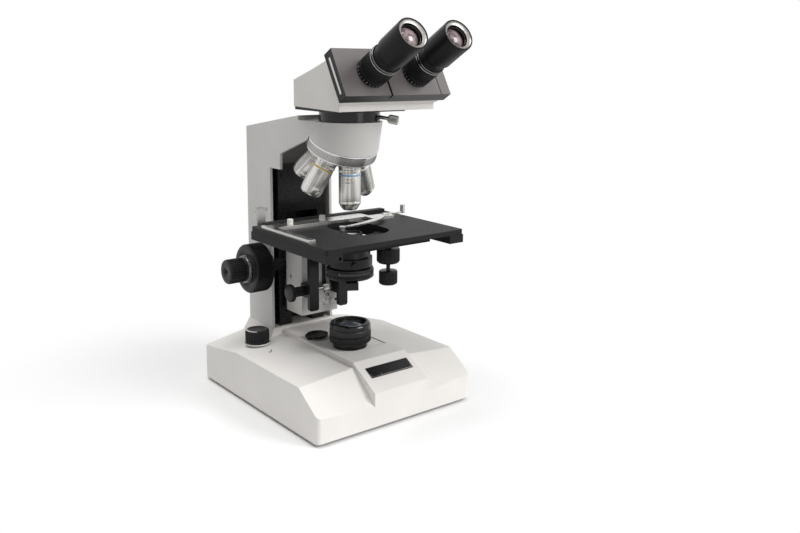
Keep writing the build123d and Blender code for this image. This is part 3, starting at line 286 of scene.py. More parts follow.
# Which finish each carried-over node wears
nodeFinish = {
    "base_casting": "litBaseEnamel", "bottom_plate": "milledAlloy", "base_screws": "turnedSteel",
    "rubber_feet": "rubber", "name_plate": "labelBlack", "collector_housing": "anodised",
    "collector_lens": "fieldGlass", "field_ring": "anodised", "lamp_board": "board",
    "heat_sink": "milledAlloy", "dimmer_knob": "knobBlack", "dc_inlet": "satinBlack",
    "filter_holder": "glossBlack", "arm_casting": "enamel", "focus_guide": "plateBlack",
    "focus_bushes": "anodised", "coarse_knobs": "knobBlack", "fine_knobs": "knobBlack",
    "tension_collar": "knobBlack", "right_flange": "knobBlack", "rack_slide": "groundSteel",
    "stage_bracket": "enamel", "stage_frame": "stageBlack", "stage_plate": "stageBlack",
    "y_drive_knob": "knobBlack", "x_drive_knob": "knobBlack", "carriage": "groundSteel",
    "holder_screws": "whiteCap", "slide_finger": "groundSteel", "stop_bracket": "milledAlloy",
    "stop_screw": "turnedSteel", "condenser_rails": "anodised", "condenser_carrier": "anodised",
    "condenser_clamp": "anodised", "condenser_body": "anodised", "condenser_lens": "fieldGlass",
    "iris_lever": "anodised", "condenser_knob": "knobBlack", "turret": "satinChrome",
    "objective_40": "chrome", "objective_100": "chrome", "objective_4": "chrome", "objective_10": "chrome",
    "turret_plug": "knobBlack", "head_seat": "glossBlack", "head_clamp_screw": "turnedSteel",
    "head_plate": "satinBlack", "head_body": "litHeadEnamel", "head_prism": "fieldGlass",
    "head_frame": "satinBlack", "tube_slide_left": "slidePaintedSheen", "tube_slide_right": "slidePaintedSheen",
    "diopter_left": "gripBlack", "diopter_right": "gripBlack", "diopter_crown_left": "chrome",
    "diopter_crown_right": "chrome", "eyepiece_left": "gripBlack", "eyepiece_right": "gripBlack",
    "eye_lens_left": "eyeGlass", "eye_lens_right": "eyeGlass",
}
for node, finish in nodeFinish.items():
    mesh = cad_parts[node].data
    mesh.materials.clear()
    mesh.materials.append(finishes[finish])
print("carried-over nodes painted:", len(nodeFinish))


# Mesh helpers
# Faces that meet by less than the first angle shade as one; the rest rounds a corner (degrees, mm)
smoothing = {"below": 38, "cornerShare": 0.45, "leastCorner": 0.02, "straight": 160, "pull": 1.2}


def place(mesh, name, finish, body, slot, frameAt=None, replaced=()):
    piece = bpy.data.objects.new(name, mesh)
    bpy.context.scene.collection.objects.link(piece)
    if frameAt is not None:
        mesh.transform(frameAt)
    for one in finish if isinstance(finish, list) else [finish]:
        mesh.materials.append(finishes[one])
    rounded = bmesh.new()
    rounded.from_mesh(mesh)
    bmesh.ops.remove_doubles(rounded, verts=rounded.verts, dist=1e-7)
    bmesh.ops.recalc_face_normals(rounded, faces=rounded.faces)
    for edge in rounded.edges:
        bend = math.radians(smoothing["below"])
        edge.smooth = len(edge.link_faces) == 2 and edge.calc_face_angle(0) < bend
    for face in rounded.faces:
        face.smooth = True
    rounded.to_mesh(mesh)
    rounded.free()
    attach(piece, body)
    if replaced:
        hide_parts(*replaced)


def axisFrame(origin, along, twist=0.0):  # local +Z lies along the axis; the origin is in mm
    z = Vector(along).normalized()
    helper = Vector((0, 0, 1)) if abs(z.z) < 0.9 else Vector((0, 1, 0))
    x = helper.cross(z).normalized()
    turn = Matrix((x, z.cross(x), z)).transposed().to_4x4() @ Matrix.Rotation(twist, 4, "Z")
    return Matrix.Translation(Vector(origin) * mm) @ turn


def soften(profile, size):  # replaces each sharp corner of a profile with a short arc
    share, least, pull = (smoothing[key] for key in ("cornerShare", "leastCorner", "pull"))
    out = [profile[0]]
    for before, corner, after in zip(profile, profile[1:], profile[2:]):
        p, c, n = (Vector(q[:2]) for q in (before, corner, after))
        reach = min(size, (p - c).length * share, (n - c).length * share)
        if reach < least or (p - c).angle(n - c) > math.radians(smoothing["straight"]):
            out.append(corner)
            continue
        start = c + (p - c).normalized() * reach
        stop = c + (n - c).normalized() * reach
        middle = (start + stop + c * pull) / (2 + pull)
        for q in (start, middle, stop):
            out.append((q.x, q.y, *corner[2:]))
    return out + [profile[-1]]


def toMesh(made, name):
    mesh = bpy.data.meshes.new(name)
    made.to_mesh(mesh)
    made.free()
    return mesh


def turned(profile, segments=72, corner=0.35):
    rows = soften([(*row, *(0, 0, 0)[len(row) - 2:]) for row in profile], corner)
    made = bmesh.new()
    rings = []
    for radius, along, finishNumber, flutes, depth in rows:
        ring = []
        for step in range(segments):
            angle = 2 * math.pi * step / segments
            cut = depth * (0.5 - 0.5 * math.cos(angle * flutes)) if flutes else 0
            r = max(radius - cut, 0) * mm
            ring.append(made.verts.new((r * math.cos(angle), r * math.sin(angle), along * mm)))
        rings.append(ring)
    for first, second, row in zip(rings, rings[1:], rows[1:]):
        for step in range(segments):
            nextStep = (step + 1) % segments
            face = made.faces.new((first[step], first[nextStep], second[nextStep], second[step]))
            face.material_index = row[2]
    for ring, row in ((rings[0], rows[0]), (rings[-1], rows[-1])):
        if row[0] > 0.01:
            face = made.faces.new(ring)
            face.material_index = row[2]
    return toMesh(made, "turned")


def ringMesh(profile, segments=72, corner=0.3):  # the profile is closed, so there are no end caps
    mesh = turned(profile + [profile[0]], segments, corner)
    made = bmesh.new()
    made.from_mesh(mesh)
    caps = [face for face in made.faces if len(face.verts) > 4]
    bmesh.ops.delete(made, geom=caps, context="FACES_ONLY")
    bmesh.ops.remove_doubles(made, verts=made.verts, dist=1e-6)
    made.to_mesh(mesh)
    made.free()
    return mesh


def slabMesh(size, corner=0.4, steps=3, centre=(0, 0, 0)):
    made = bmesh.new()
    bmesh.ops.create_cube(made, size=1)
    bmesh.ops.scale(made, vec=Vector(size) * mm, verts=made.verts)
    bmesh.ops.bevel(made, geom=made.edges[:], offset=corner * mm, segments=steps, affect="EDGES", profile=0.5)
    bmesh.ops.translate(made, vec=Vector(centre) * mm, verts=made.verts)
    return toMesh(made, "slab")


def outlineMesh(points, thickness):  # a flat outline in XY, raised along Z
    made = bmesh.new()
    base = made.faces.new([made.verts.new((x * mm, y * mm, 0)) for x, y in points])
    raised = bmesh.ops.extrude_face_region(made, geom=[base])
    top = [item for item in raised["geom"] if isinstance(item, bmesh.types.BMVert)]
    bmesh.ops.translate(made, vec=(0, 0, thickness * mm), verts=top)
    return toMesh(made, "outline")


def joined(meshes, name):
    made = bmesh.new()
    for mesh in meshes:
        made.from_mesh(mesh)
        bpy.data.meshes.remove(mesh)
    return toMesh(made, name)


def moved(mesh, at):
    mesh.transform(at)
    return mesh


markLook = {"thick": 0.14, "proud": 0.06, "corner": 0.03, "longEvery": 5}


# Fine marks laid round a cylinder
def marksMesh(radius, along, count, length, width, arc=360, start=0, long=0):
    parts = []
    across = radius - markLook["thick"] / 2 + markLook["proud"]
    for index in range(count):
        angle = math.radians(start + arc * index / count)
        tall = length + (long if index % markLook["longEvery"] == 0 else 0)
        bar = slabMesh((markLook["thick"], width, tall), markLook["corner"], 1, (across, 0, along + tall / 2))
        parts.append(moved(bar, Matrix.Rotation(angle, 4, "Z")))
    return joined(parts, "marks")


def wrappedText(words, size, radius):  # letters bent round a cylinder about local Z, read along its girth
    curve = bpy.data.curves.new("letters", "FONT")
    curve.body, curve.size, curve.align_x, curve.align_y = words, size, "CENTER", "CENTER"
    curve.extrude, curve.resolution_u = 0.04, 2
    holder = bpy.data.objects.new("letters", curve)
    mesh = bpy.data.meshes.new_from_object(holder)
    bpy.data.objects.remove(holder)
    bpy.data.curves.remove(curve)
    for vertex in mesh.vertices:
        x, y, z = vertex.co
        angle, r = x / radius, (radius + z) * mm
        vertex.co = (r * math.cos(angle), r * math.sin(angle), y * mm)
    return mesh


# In every profile a row gives: radius, distance along the axis, finish number, flutes, flute depth (mm)

# Focus knobs, built along the drive axis
focusDrive = {
    "centre": (0, 100, 129.4), "coarse": 26.4, "span": (45.5, 66), "ribs": 84, "ribDepth": 1.15,
    "ledge": (23, 23.4), "groove": (15.2, 18.4, 1.3), "bore": 2.6, "shaft": (5, 46),
    "pinion": (4.9, 5.7, 11), "teeth": 16, "toothDepth": 1.1, "fine": 13.2, "fineEnd": 89.5,
    "fineShaft": 2.4, "flutes": 30, "fluteDepth": 0.9, "dial": 15, "dialWidth": 3.2, "ticks": 100,
    "tickLength": 1.0, "tickWidth": 0.22, "longTick": 0.7,
}
driveFrame = axisFrame(focusDrive["centre"], (1, 0, 0))
flip = Matrix.Rotation(math.pi, 4, "X")


def coarseKnob():
    s = focusDrive
    r, bore = s["coarse"], s["bore"]
    a, b = s["span"]
    low, high, deep = s["groove"]
    grip = (0, s["ribs"], s["ribDepth"])
    profile = [
        (bore, a), (s["ledge"][0], a), (s["ledge"][1], a + 0.7), (r - 0.9, a + 0.7), (r, a + 1.8, *grip),
        (r, b - 1.6, *grip), (r - 0.9, b - 0.5), (r - 2.6, b), (high, b), (high - 0.8, b - deep),
        (low + 0.4, b - deep), (low, b), (bore, b),
    ]
    return ringMesh(profile, s["ribs"] * 6, 0.3)


def coarsePair():
    s = focusDrive
    radius, end = s["shaft"]
    root, crest, half = s["pinion"]
    tooth = (0, s["teeth"], s["toothDepth"])
    shaft = ringMesh([(s["bore"], -end), (radius, -end), (radius, end), (s["bore"], end)])
    pinion = ringMesh([(root, -half), (crest, -half, *tooth), (crest, half, *tooth), (root, half)], 96)
    return joined([coarseKnob(), moved(coarseKnob(), flip), shaft, pinion], "coarseKnobPair")


def fineKnob():
    s = focusDrive
    r, low, end, dial = s["fine"], s["span"][1] + 0.5, s["fineEnd"], s["dial"]
    high = low + s["dialWidth"]
    grip = (0, s["flutes"], s["fluteDepth"])
    profile = [
        (s["fineShaft"], low), (dial - 0.6, low, 1), (dial, low + 0.5, 1), (dial, high - 0.5, 1),
        (dial - 0.5, high, 1), (r + 0.2, high, 1), (r - 0.5, low + 3.6), (r - 0.5, low + 5),
        (r, low + 5.6, *grip), (r, end - 1.6, *grip), (r - 0.9, end - 0.3), (r - 2.2, end),
        (4.6, end), (4.2, end - 0.8), (2, end - 0.8), (1.8, end - 3.4), (0, end - 3.4),
    ]
    return turned(profile, 432, 0.25)


def finePair():
    end = focusDrive["span"][1] + 0.5
    shaft = turned([(focusDrive["fineShaft"] + 0.05, -end), (focusDrive["fineShaft"] + 0.05, end)], 48)
    return joined([fineKnob(), moved(fineKnob(), flip), shaft], "fineKnobPair")


def fineTicks():
    s = focusDrive
    along = s["span"][1] + 1.1
    return marksMesh(s["dial"], along, s["ticks"], s["tickLength"], s["tickWidth"], long=s["longTick"])


place(coarsePair(), "coarseKnobPair", "knobBlack", "coarse_drive", "black_plastic", driveFrame,
      ["coarse_knobs"])
# the fine knob's dial wears the shaded copy of chrome
place(finePair(), "fineKnobPair", ["knobBlack", "shadedChrome"], "fine_drive", "black_plastic", driveFrame,
      ["fine_knobs"])
place(joined([fineTicks(), moved(fineTicks(), flip)], "fineDialMarks"), "fineDialMarks", "whiteInk",
      "fine_drive", "black_plastic", driveFrame)

collar = {"bore": 5.1, "face": 14.6, "radius": 16.5, "span": (39, 43.6), "flutes": (14, 1.0)}
collarProfile = [
    (collar["bore"], collar["span"][0]), (collar["face"], collar["span"][0]),
    (collar["radius"], collar["span"][0] + 0.6, 0, *collar["flutes"]),
    (collar["radius"], collar["span"][1] - 0.6, 0, *collar["flutes"]),
    (collar["radius"] - 1.1, collar["span"][1]), (collar["bore"], collar["span"][1]),
]
place(moved(ringMesh(collarProfile, 168, 0.3), flip), "tensionCollar", "knobBlack", "tension",
      "black_plastic", driveFrame, ["tension_collar"])
print("focus drive dressed")

# Dimmer knob on the base, with a pale skirt and a white arc painted on its top rim as a highlight
dimmer = {"at": (-65.5, 79, 0), "stem": (3, 40), "radius": 12.6, "skirt": 13.4, "skirtDrop": 15.4,
          "flutes": (26, 0.9), "dish": 9.4, "arc": (-205, -120), "highlightRadius": 10.5, "highlightWidth": 2.0}


def dimmerKnob(top):
    d = dimmer
    r, grip = d["radius"], (0, *d["flutes"])
    under = top - d["skirtDrop"]
    profile = [
        d["stem"], (d["stem"][0], under + 0.4), (d["skirt"], under, 1), (d["skirt"], under + 1.2, 1),
        (r - 0.6, top - 13), (r, top - 12, *grip), (r, top - 1.6, *grip), (r - 1.2, top - 0.2),
        (r - 2.4, top), (d["dish"], top), (d["dish"] - 0.4, top - 0.6), (0, top - 0.6),
    ]
    return turned(profile, d["flutes"][0] * 8, 0.3)


def bandMesh(radius, width, arc, low, high, steps=24):  # part of a flat ring about local Z
    angles = [math.radians(arc[0] + (arc[1] - arc[0]) * step / steps) for step in range(steps + 1)]
    outer, inner = radius + width / 2, radius - width / 2
    points = [(outer * math.cos(a), outer * math.sin(a)) for a in angles]
    points += [(inner * math.cos(a), inner * math.sin(a)) for a in reversed(angles)]
    return moved(outlineMesh(points, high - low), Matrix.Translation((0, 0, low * mm)))


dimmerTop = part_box("dimmer_knob")[1].z / mm
dimmerFrame = axisFrame(dimmer["at"], (0, 0, 1))
place(dimmerKnob(dimmerTop), "dimmerKnob", ["knobBlack", "enamel"], "dimmer", "black_plastic", dimmerFrame,
      ["dimmer_knob"])
# a painted highlight: a white crescent laid on the top rim's left
place(bandMesh(dimmer["highlightRadius"], dimmer["highlightWidth"], dimmer["arc"], dimmerTop - 0.4, dimmerTop - 0.02),
      "dimmerPaintedHighlight", "whiteInk", "dimmer", "black_plastic", Matrix.Translation(Vector(dimmer["at"]) * mm))

# Collector: a cap with a knurled band and a stepped mouth over the ribbed diaphragm ring
collector = {"top": 83.3, "bore": 12, "stem": 14, "flange": (18, 56.9), "neck": 16.5, "cap": 21.6,
             "knurls": (90, 0.3), "mouth": 16.3, "seat": (13.5, 3, 7), "ring": (16.6, 21.6, 6.5),
             "ribs": (48, 0.8), "marks": (16, 0.1, 0.35, 100, -140), "glass": 13.4}


def collectorHousing(foot, ringLow, capLow):
    c = collector
    top, bore, r = c["top"], c["bore"], c["cap"]
    wide, shelf = c["flange"]
    seat, seatDrop, seatLow = c["seat"]
    grip = (0, *c["knurls"])
    profile = [
        (bore, foot), (c["stem"], foot), (c["stem"], shelf), (wide, shelf), (wide, ringLow - 0.8),
        (wide - 0.8, ringLow - 0.1), (c["neck"], ringLow - 0.1), (c["neck"], capLow), (r - 0.7, capLow),
        (r, capLow + 0.6, *grip), (r, capLow + 6.4, *grip), (r - 0.6, capLow + 6.8), (r - 0.6, capLow + 7.6),
        (r - 0.1, capLow + 8), (r - 0.2, top - 2.2), (r - 1.4, top - 0.4), (r - 3, top),
        (c["mouth"] + 0.6, top), (c["mouth"], top - 0.6), (c["mouth"], top - seatDrop),
        (seat, top - seatDrop), (seat, top - seatLow), (bore, top - seatLow),
    ]
    return ringMesh(profile, 360, 0.25)


def diaphragmRing(low):
    inner, outer, width = collector["ring"]
    rib = (0, *collector["ribs"])
    profile = [(inner, low), (outer - 0.6, low), (outer, low + 0.5, *rib), (outer, low + width - 0.5, *rib),
               (outer - 0.6, low + width), (inner, low + width)]
    return ringMesh(profile, 384, 0.25)


def collectorGlass():
    r, top = collector["glass"], collector["top"]
    profile = [(r, top - 6.9), (r, top - 4.4), (r - 1.6, top - 3.6), (8, top - 3.15), (4, top - 3.02),
               (0, top - 3)]
    return turned(profile, 96, 0.2)


ringLow, ringHigh = (corner.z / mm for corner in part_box("field_ring"))
place(collectorHousing(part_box("collector_housing")[0].z / mm, ringLow, ringHigh + 0.1), "collectorHousing",
      "glossBlack", "stand", "black_anodised", replaced=["collector_housing"])
place(diaphragmRing(ringLow), "diaphragmRing", "anodised", "field_diaphragm", "black_anodised",
      replaced=["field_ring"])
place(marksMesh(collector["ring"][1] - 0.7, ringLow + 6.45, *collector["marks"]), "diaphragmMarks",
      "whiteInk", "field_diaphragm", "black_anodised")
place(collectorGlass(), "collectorGlass", "fieldGlass", "stand", "lens", replaced=["collector_lens"])

# Coaxial stage knobs
stageKnobs = {
    "at": (61.4, 16, 0),
    "upper": [(2.3, 134), (10.6, 134), (12.2, 135.6), (12.7, 136.6, 0, 40, 0.5), (12.7, 149.6, 0, 40, 0.5),
              (12, 150.8), (3.6, 151), (3.6, 182.7), (2.3, 182.7)],
    "lower": [(0, 110), (8.4, 110), (9.8, 111.2), (10.2, 112.2, 0, 34, 0.5), (10.2, 124, 0, 34, 0.5),
              (9.6, 125.4), (6.4, 126), (2.2, 126), (2.2, 182.7), (0, 182.7)],
}
stageKnobFrame = axisFrame(stageKnobs["at"], (0, 0, 1))
place(ringMesh(stageKnobs["upper"], 240, 0.3), "stageKnobUpper", "knobBlack", "y_drive", "black_plastic",
      stageKnobFrame, ["y_drive_knob"])
place(turned(stageKnobs["lower"], 204, 0.3), "stageKnobLower", "knobBlack", "x_drive", "black_plastic",
      stageKnobFrame, ["x_drive_knob"])

# Condenser: focus knob with its pinion, knurled barrel, glass and scale
condenser = {
    "drive": (0, 51, 109),
    "knob": [(0, -43), (8.4, -43), (9.5, -42.2, 0, 44, 0.4), (9.5, -39.3, 0, 44, 0.4), (8.7, -38.5),
             (4.6, -38.5), (4.6, -35.6), (5.3, -35, 0, 20, 0.5), (5.3, -25.2, 0, 20, 0.5), (4.8, -24.2),
             (2.5, -24.2), (2.5, -1.5, 1), (3.9, -1.5, 1, 12, 0.7), (3.9, 8.5, 1, 12, 0.7), (0, 8.5, 1)],
    "barrel": [(11, 134.7), (20.05, 134.7), (20.05, 131), (22.4, 131), (24.5, 132.6), (24.5, 134.4),
               (23.7, 134.9), (23.7, 135.6), (24.5, 136.1, 0, 120, 0.3), (24.5, 140.2, 0, 120, 0.3),
               (23.9, 140.9), (23.9, 142), (18.5, 142), (18.5, 164.8), (17.4, 166), (13, 166), (13, 177),
               (12, 178), (11, 178)],
    "glass": [(10.9, 173), (10.9, 175.8), (9, 176.9), (5, 177.4), (0, 177.5)],
    "marks": (24.5, 137.6, 14, 1.2, 0.25, 84, -150, 0.6),
}
place(turned(condenser["knob"], 264, 0.2), "condenserKnob", ["knobBlack", "turnedSteel"], "condenser_drive",
      "black_plastic", axisFrame(condenser["drive"], (1, 0, 0)), ["condenser_knob"])
place(ringMesh(condenser["barrel"], 480, 0.25), "condenserBarrel", "anodised", "condenser", "black_anodised",
      replaced=["condenser_body"])
place(turned(condenser["glass"], 96, 0.2), "condenserGlass", "fieldGlass", "condenser", "lens",
      replaced=["condenser_lens"])
place(marksMesh(*condenser["marks"]), "apertureMarks", "whiteInk", "condenser", "black_anodised")
print("base, stage and condenser controls dressed")

# Nosepiece ring: a knurled grip between two bright lips
nosepiece = {
    "apex": (0, 0, 295), "lean": math.radians(24.5), "places": 5,
    "grip": [(35.6, 25.2, 1), (36.45, 25.4, 1), (36.6, 26.0, 1), (36.6, 27.3, 1), (36.2, 27.6, 0),
             (36.5, 27.9, 0, 150, 0.4), (36.5, 35.2, 0, 150, 0.4), (36.2, 35.6, 0), (36.4, 36.0, 1),
             (36.4, 36.7, 1), (35.9, 37.1, 1), (35.5, 36.6, 1)],
    "plug": [(0, 44.5), (10.16, 44.5), (10.16, 49), (11, 49), (11.4, 49.4, 0, 48, 0.4),
             (11.4, 51.4, 0, 48, 0.4), (10.8, 52), (0, 52)],
    "plugPlace": 2,
}
turretAxis = Vector((0, math.sin(nosepiece["lean"]), -math.cos(nosepiece["lean"])))


def stationFrame(index):  # the axis of one of the turret's places
    turn = 2 * math.pi * index / nosepiece["places"]
    s, c = math.sin(nosepiece["lean"]), math.cos(nosepiece["lean"])
    away = -s * math.cos(turn)
    return axisFrame(nosepiece["apex"], (s * math.sin(turn), c * (s + away), -c * c + s * away))


place(ringMesh(nosepiece["grip"], 900, 0.12), "nosepieceGrip", ["gripMetal", "chrome"], "nosepiece", "chrome",
      axisFrame(nosepiece["apex"], turretAxis))

# Objectives
objectives = {
    "objective_40": {"place": 0, "reach": 44.4, "tip": 6.6, "lens": 2.4, "band": "blueRing",
                     "words": ("40/0.65", "160/0.17")},
    "objective_100": {"place": 1, "reach": 44.4, "tip": 6.2, "lens": 1.8, "band": "whiteRing",
                      "words": ("100/1.25", "160/0.17")},
    "objective_4": {"place": 3, "reach": 38.5, "tip": 8.8, "lens": 5, "band": "redRing",
                    "words": ("4/0.10", "160/-")},
    "objective_10": {"place": 4, "reach": 38, "tip": 8.6, "lens": 3.6, "band": "yellowRing",
                     "words": ("10/0.25", "160/-")},
}
barrel = {"radius": 11.4, "shoulder": 49, "thread": (10.16, 4.5), "taper": 7, "round": 2.4, "flare": 2,
          "slack": 0.05, "knurls": (96, 0.28), "lines": (48, 0.16), "segments": 576, "longFrom": 40,
          "toEye": (-0.6, -0.75, 0.1)}
engraving = {"long": {"size": 2.3, "first": 12.2, "step": 3.1},
             "short": {"size": 1.9, "first": 11.4, "step": 2.6}}


def roundedEnd(tip, reach):  # a convex end inside the tapering solid behind it
    b = barrel
    rows = []
    for step in range(6):
        turn = math.pi / 2 * step / 6
        radius = tip + (b["radius"] - 0.12 - tip) * math.cos(turn)
        fall = b["taper"] * (1 - math.sin(turn))
        if fall < b["round"]:
            edge = tip + b["flare"] * fall / b["round"]
        else:
            spread = b["radius"] - tip - b["flare"]
            edge = tip + b["flare"] + spread * (fall - b["round"]) / (b["taper"] - b["round"])
        rows.append((min(radius, edge - b["slack"]), reach - fall))
    return rows + [(tip - 0.4, reach)]


def objectiveBarrel(tip, lens, end):
    b = barrel
    r, low, taper = b["radius"], b["shoulder"], end - b["taper"]
    thread, threadLong = b["thread"]
    knurl, line = (0, *b["knurls"]), (0, *b["lines"])
    rows = [
        (0, low - threadLong), (thread, low - threadLong), (thread, low), (r, low, 0), (r, low + 2.2),
        (r - 0.35, low + 2.4), (r - 0.35, low + 2.9), (r, low + 3.1, *knurl), (r, low + 5.4, *knurl),
        (r - 0.3, low + 5.7), (r - 0.3, low + 7), (r - 0.12, low + 7.1, 1), (r - 0.12, low + 8.9, 1),
        (r - 0.3, low + 9), (r - 0.12, low + 9.4, *line), (r - 0.12, taper - 3, *line),
        (r - 0.3, taper - 2.8), (r - 0.3, taper - 2.4), (r - 0.12, taper - 2.2, *line),
        (r - 0.12, taper - 1, *line),
    ]
    rows += roundedEnd(tip, end)
    rows += [(lens + 0.6, end), (lens + 0.1, end - 0.7, 2), (lens * 0.6, end - 0.45, 2), (0, end - 0.35, 2)]
    return turned(rows, b["segments"], 0.15)


for name, o in objectives.items():
    at = stationFrame(o["place"])
    finishes[f"{name}Steel"] = barrelStreakReflectionFinish(f"{name}Steel", at)
    place(objectiveBarrel(o["tip"], o["lens"], barrel["shoulder"] + o["reach"]), f"{name}Barrel",
          [f"{name}Steel", o["band"], "tipGlass"], "nosepiece", "chrome", at, [name])
    toEye = at.to_3x3().inverted() @ Vector(barrel["toEye"])
    facing = math.atan2(toEye.y, toEye.x)
    text = engraving["long" if o["reach"] > barrel["longFrom"] else "short"]
    for row, words in enumerate(o["words"]):
        letters = wrappedText(words, text["size"], barrel["radius"] - 0.1)
        letters.transform(Matrix.Rotation(math.pi, 4, "X"))  # they read from the table side up
        letters.transform(Matrix.Rotation(facing, 4, "Z"))
        along = barrel["shoulder"] + text["first"] + text["step"] * row
        letters.transform(Matrix.Translation((0, 0, along * mm)))
        place(letters, f"{name}Engraving{row}", "darkInk", "nosepiece", "chrome", at)
place(turned(nosepiece["plug"], 288, 0.2), "nosepiecePlug", "knobBlack", "nosepiece", "black_plastic",
      stationFrame(nosepiece["plugPlace"]), ["turret_plug"])
print("nosepiece dressed")

# Head clamp screw
clamp = {
    "dip": math.radians(10), "azimuth": math.radians(-45), "away": 25.2, "height": 298,
    "profile": [(0, 0), (1.9, 0), (1.9, 13.6), (2.6, 14), (3.4, 14.1), (3.4, 15.1), (4.1, 15.1),
                (4.6, 15.6, 0, 30, 0.4), (4.6, 23.6, 0, 30, 0.4), (4.1, 24.6), (3, 24.9), (0, 24.9)],
}


def clampFrame():
    across = Vector((math.cos(clamp["azimuth"]), math.sin(clamp["azimuth"]), 0))
    along = across * math.cos(clamp["dip"]) - Vector((0, 0, math.sin(clamp["dip"])))
    return axisFrame(across * clamp["away"] + Vector((0, 0, clamp["height"])), along)


place(turned(clamp["profile"], 240, 0.2), "clampKnob", "turnedSteel", "head_clamp", "steel", clampFrame(),
      ["head_clamp_screw"])

# Tubes: diopter collars, black crowns with two bright lines, the second in a darker, shaded copy of chrome,
# and eyepieces
tubes = {
    "along": (0, -math.cos(tilt), math.sin(tilt)), "y": -72.9, "z": 341.9, "half": 26,
    "collar": [(12.6, 0.1), (14.9, 0.1), (15.4, 0.7), (15.4, 6.5), (15.1, 6.9), (15.1, 7.5),
               (15.4, 7.9, 0, 64, 0.35), (15.4, 21.4, 0, 64, 0.35), (15.1, 21.9), (15.1, 22.5), (15.4, 22.9),
               (15.3, 24), (13.9, 24), (13.9, 22), (12.6, 22)],
    "marks": (15.4, 1.6, 15, 1.7, 0.3, 200, 160, 0.9),
    "crown": [(13.95, 24), (15.2, 24), (15.6, 24.4), (15.6, 24.9, 1), (15.3, 25.2), (15.2, 26.4),
              (15.5, 26.8), (15.4, 27.2, 2), (15.0, 27.6, 2), (14.2, 28), (13.95, 28)],
    # a ringed neck, a turned mouth and a silver face ring round the lens
    "eyepiece": [(10, 4), (11.6, 4), (11.6, 24.5), (13.8, 24.5), (13.8, 29), (13.2, 29.4), (13.2, 30),
                 (13.8, 30.4), (13.8, 32), (13.2, 32.4), (13.2, 33), (13.8, 33.4), (13.8, 36.4), (14.6, 37),
                 (15.2, 37.4), (15.6, 37.9), (15.7, 38.6), (15.7, 70.6), (15.4, 71.4), (14.9, 71.9),
                 (14.5, 71.7), (14.2, 70.9), (13.7, 70.2, 1), (12.3, 69.5, 1), (11.2, 69.2, 1),
                 (10.9, 68.4, 2), (10.4, 67.2, 2), (10, 67, 2)],
    "lens": {"radius": 9.9, "low": 62.5, "crest": 67.6, "curve": 26},
}


def eyeLens():
    lens = tubes["lens"]
    radii = [lens["radius"]] + list(range(9, -1, -1))
    dome = [(r, lens["crest"] - r * r / lens["curve"]) for r in radii]
    return turned([(0, lens["low"]), (lens["radius"], lens["low"])] + dome, 96, 0.05)


for side, sign in (("left", -1), ("right", 1)):
    at = axisFrame((sign * tubes["half"], tubes["y"], tubes["z"]), tubes["along"])
    diopter, eyepiece = f"{side}_diopter", f"{side}_eyepiece"
    place(ringMesh(tubes["collar"], 384, 0.2), f"diopterCollar_{side}", "gripBlack", diopter,
          "black_plastic", at, [f"diopter_{side}"])
    place(ringMesh(tubes["crown"], 120, 0.15), f"crownRing_{side}",
          ["gripBlack", "satinChrome", "shadedChrome"], diopter, "chrome", at, [f"diopter_crown_{side}"])
    place(marksMesh(*tubes["marks"]), f"diopterMarks_{side}", "whiteInk", diopter, "black_plastic", at)
    place(ringMesh(tubes["eyepiece"], 144, 0.15), f"eyepieceBarrel_{side}",
          ["gripBlack", "mouthMetal", "glossBlack"], eyepiece, "black_plastic", at, [f"eyepiece_{side}"])
    place(eyeLens(), f"eyeLensDome_{side}", "eyeGlass", eyepiece, "lens", at, [f"eye_lens_{side}"])
print("tubes dressed")

# Blank name plate: a pale border line set on the black face
plate = {"slope": 28.2, "centre": (4.6, -62.35, 49.2), "size": (51, 13.4), "rise": 0.35, "line": 0.35,
         "inset": 0.9, "thickness": 0.08, "divider": (0.25, 12, 0.06)}


def plateBorder():
    p = plate
    w, h, t, thick = p["size"][0] / 2 - p["inset"], p["size"][1] / 2 - p["inset"], p["line"], p["thickness"]
    wide, across, low = p["divider"]
    bars = [slabMesh((2 * w, t, thick), 0.02, 1, (0, side * h, 0)) for side in (-1, 1)]
    bars += [slabMesh((t, 2 * h, thick), 0.02, 1, (side * w, 0, 0)) for side in (-1, 1)]
    bars += [slabMesh((wide, 2 * h - 2, low), 0.02, 1, (across - w, 0, 0))]
    return joined(bars, "plateBorder")


plateTurn = Matrix.Rotation(math.radians(plate["slope"]), 4, "X")
plateRise = Matrix.Translation((0, 0, plate["rise"] * mm))
plateAt = Matrix.Translation(Vector(plate["centre"]) * mm) @ plateTurn @ plateRise
place(plateBorder(), "namePlateBorder", "satinChrome", "stand", "black_paint", plateAt)

# Marks printed on the base: a curved arrow that shows which way the lamp brightens
arrow = {"at": (-68.6, 53.8), "radius": 5.2, "width": 0.9, "arc": (35, 118), "steps": 14, "head": 1.9,
         "point": 22, "thickness": 0.08, "sunk": 0.02, "turn": -20}


def surfaceHeight(node, x, y):  # the spot and the normal where a line from above meets a node
    shape = bmesh.new()
    shape.from_mesh(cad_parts[node].data)
    tree = BVHTree.FromBMesh(shape)
    spot, normal = tree.ray_cast(Vector((x * mm, y * mm, 0.5)), Vector((0, 0, -1)))[:2]
    shape.free()
    return spot, normal


def arrowMesh():
    a = arrow
    tail, tip = math.radians(a["arc"][0]), math.radians(a["arc"][0] - a["point"])
    r, wide = a["radius"], a["head"]
    barbs = [(reach * math.cos(tail), reach * math.sin(tail)) for reach in (r - wide, r + wide)]
    point = (r * math.cos(tip), r * math.sin(tip))
    body = bandMesh(r, a["width"], a["arc"], 0, a["thickness"], a["steps"])
    head = outlineMesh([barbs[0], point, barbs[1]], a["thickness"])
    return joined([body, head], "arrow")


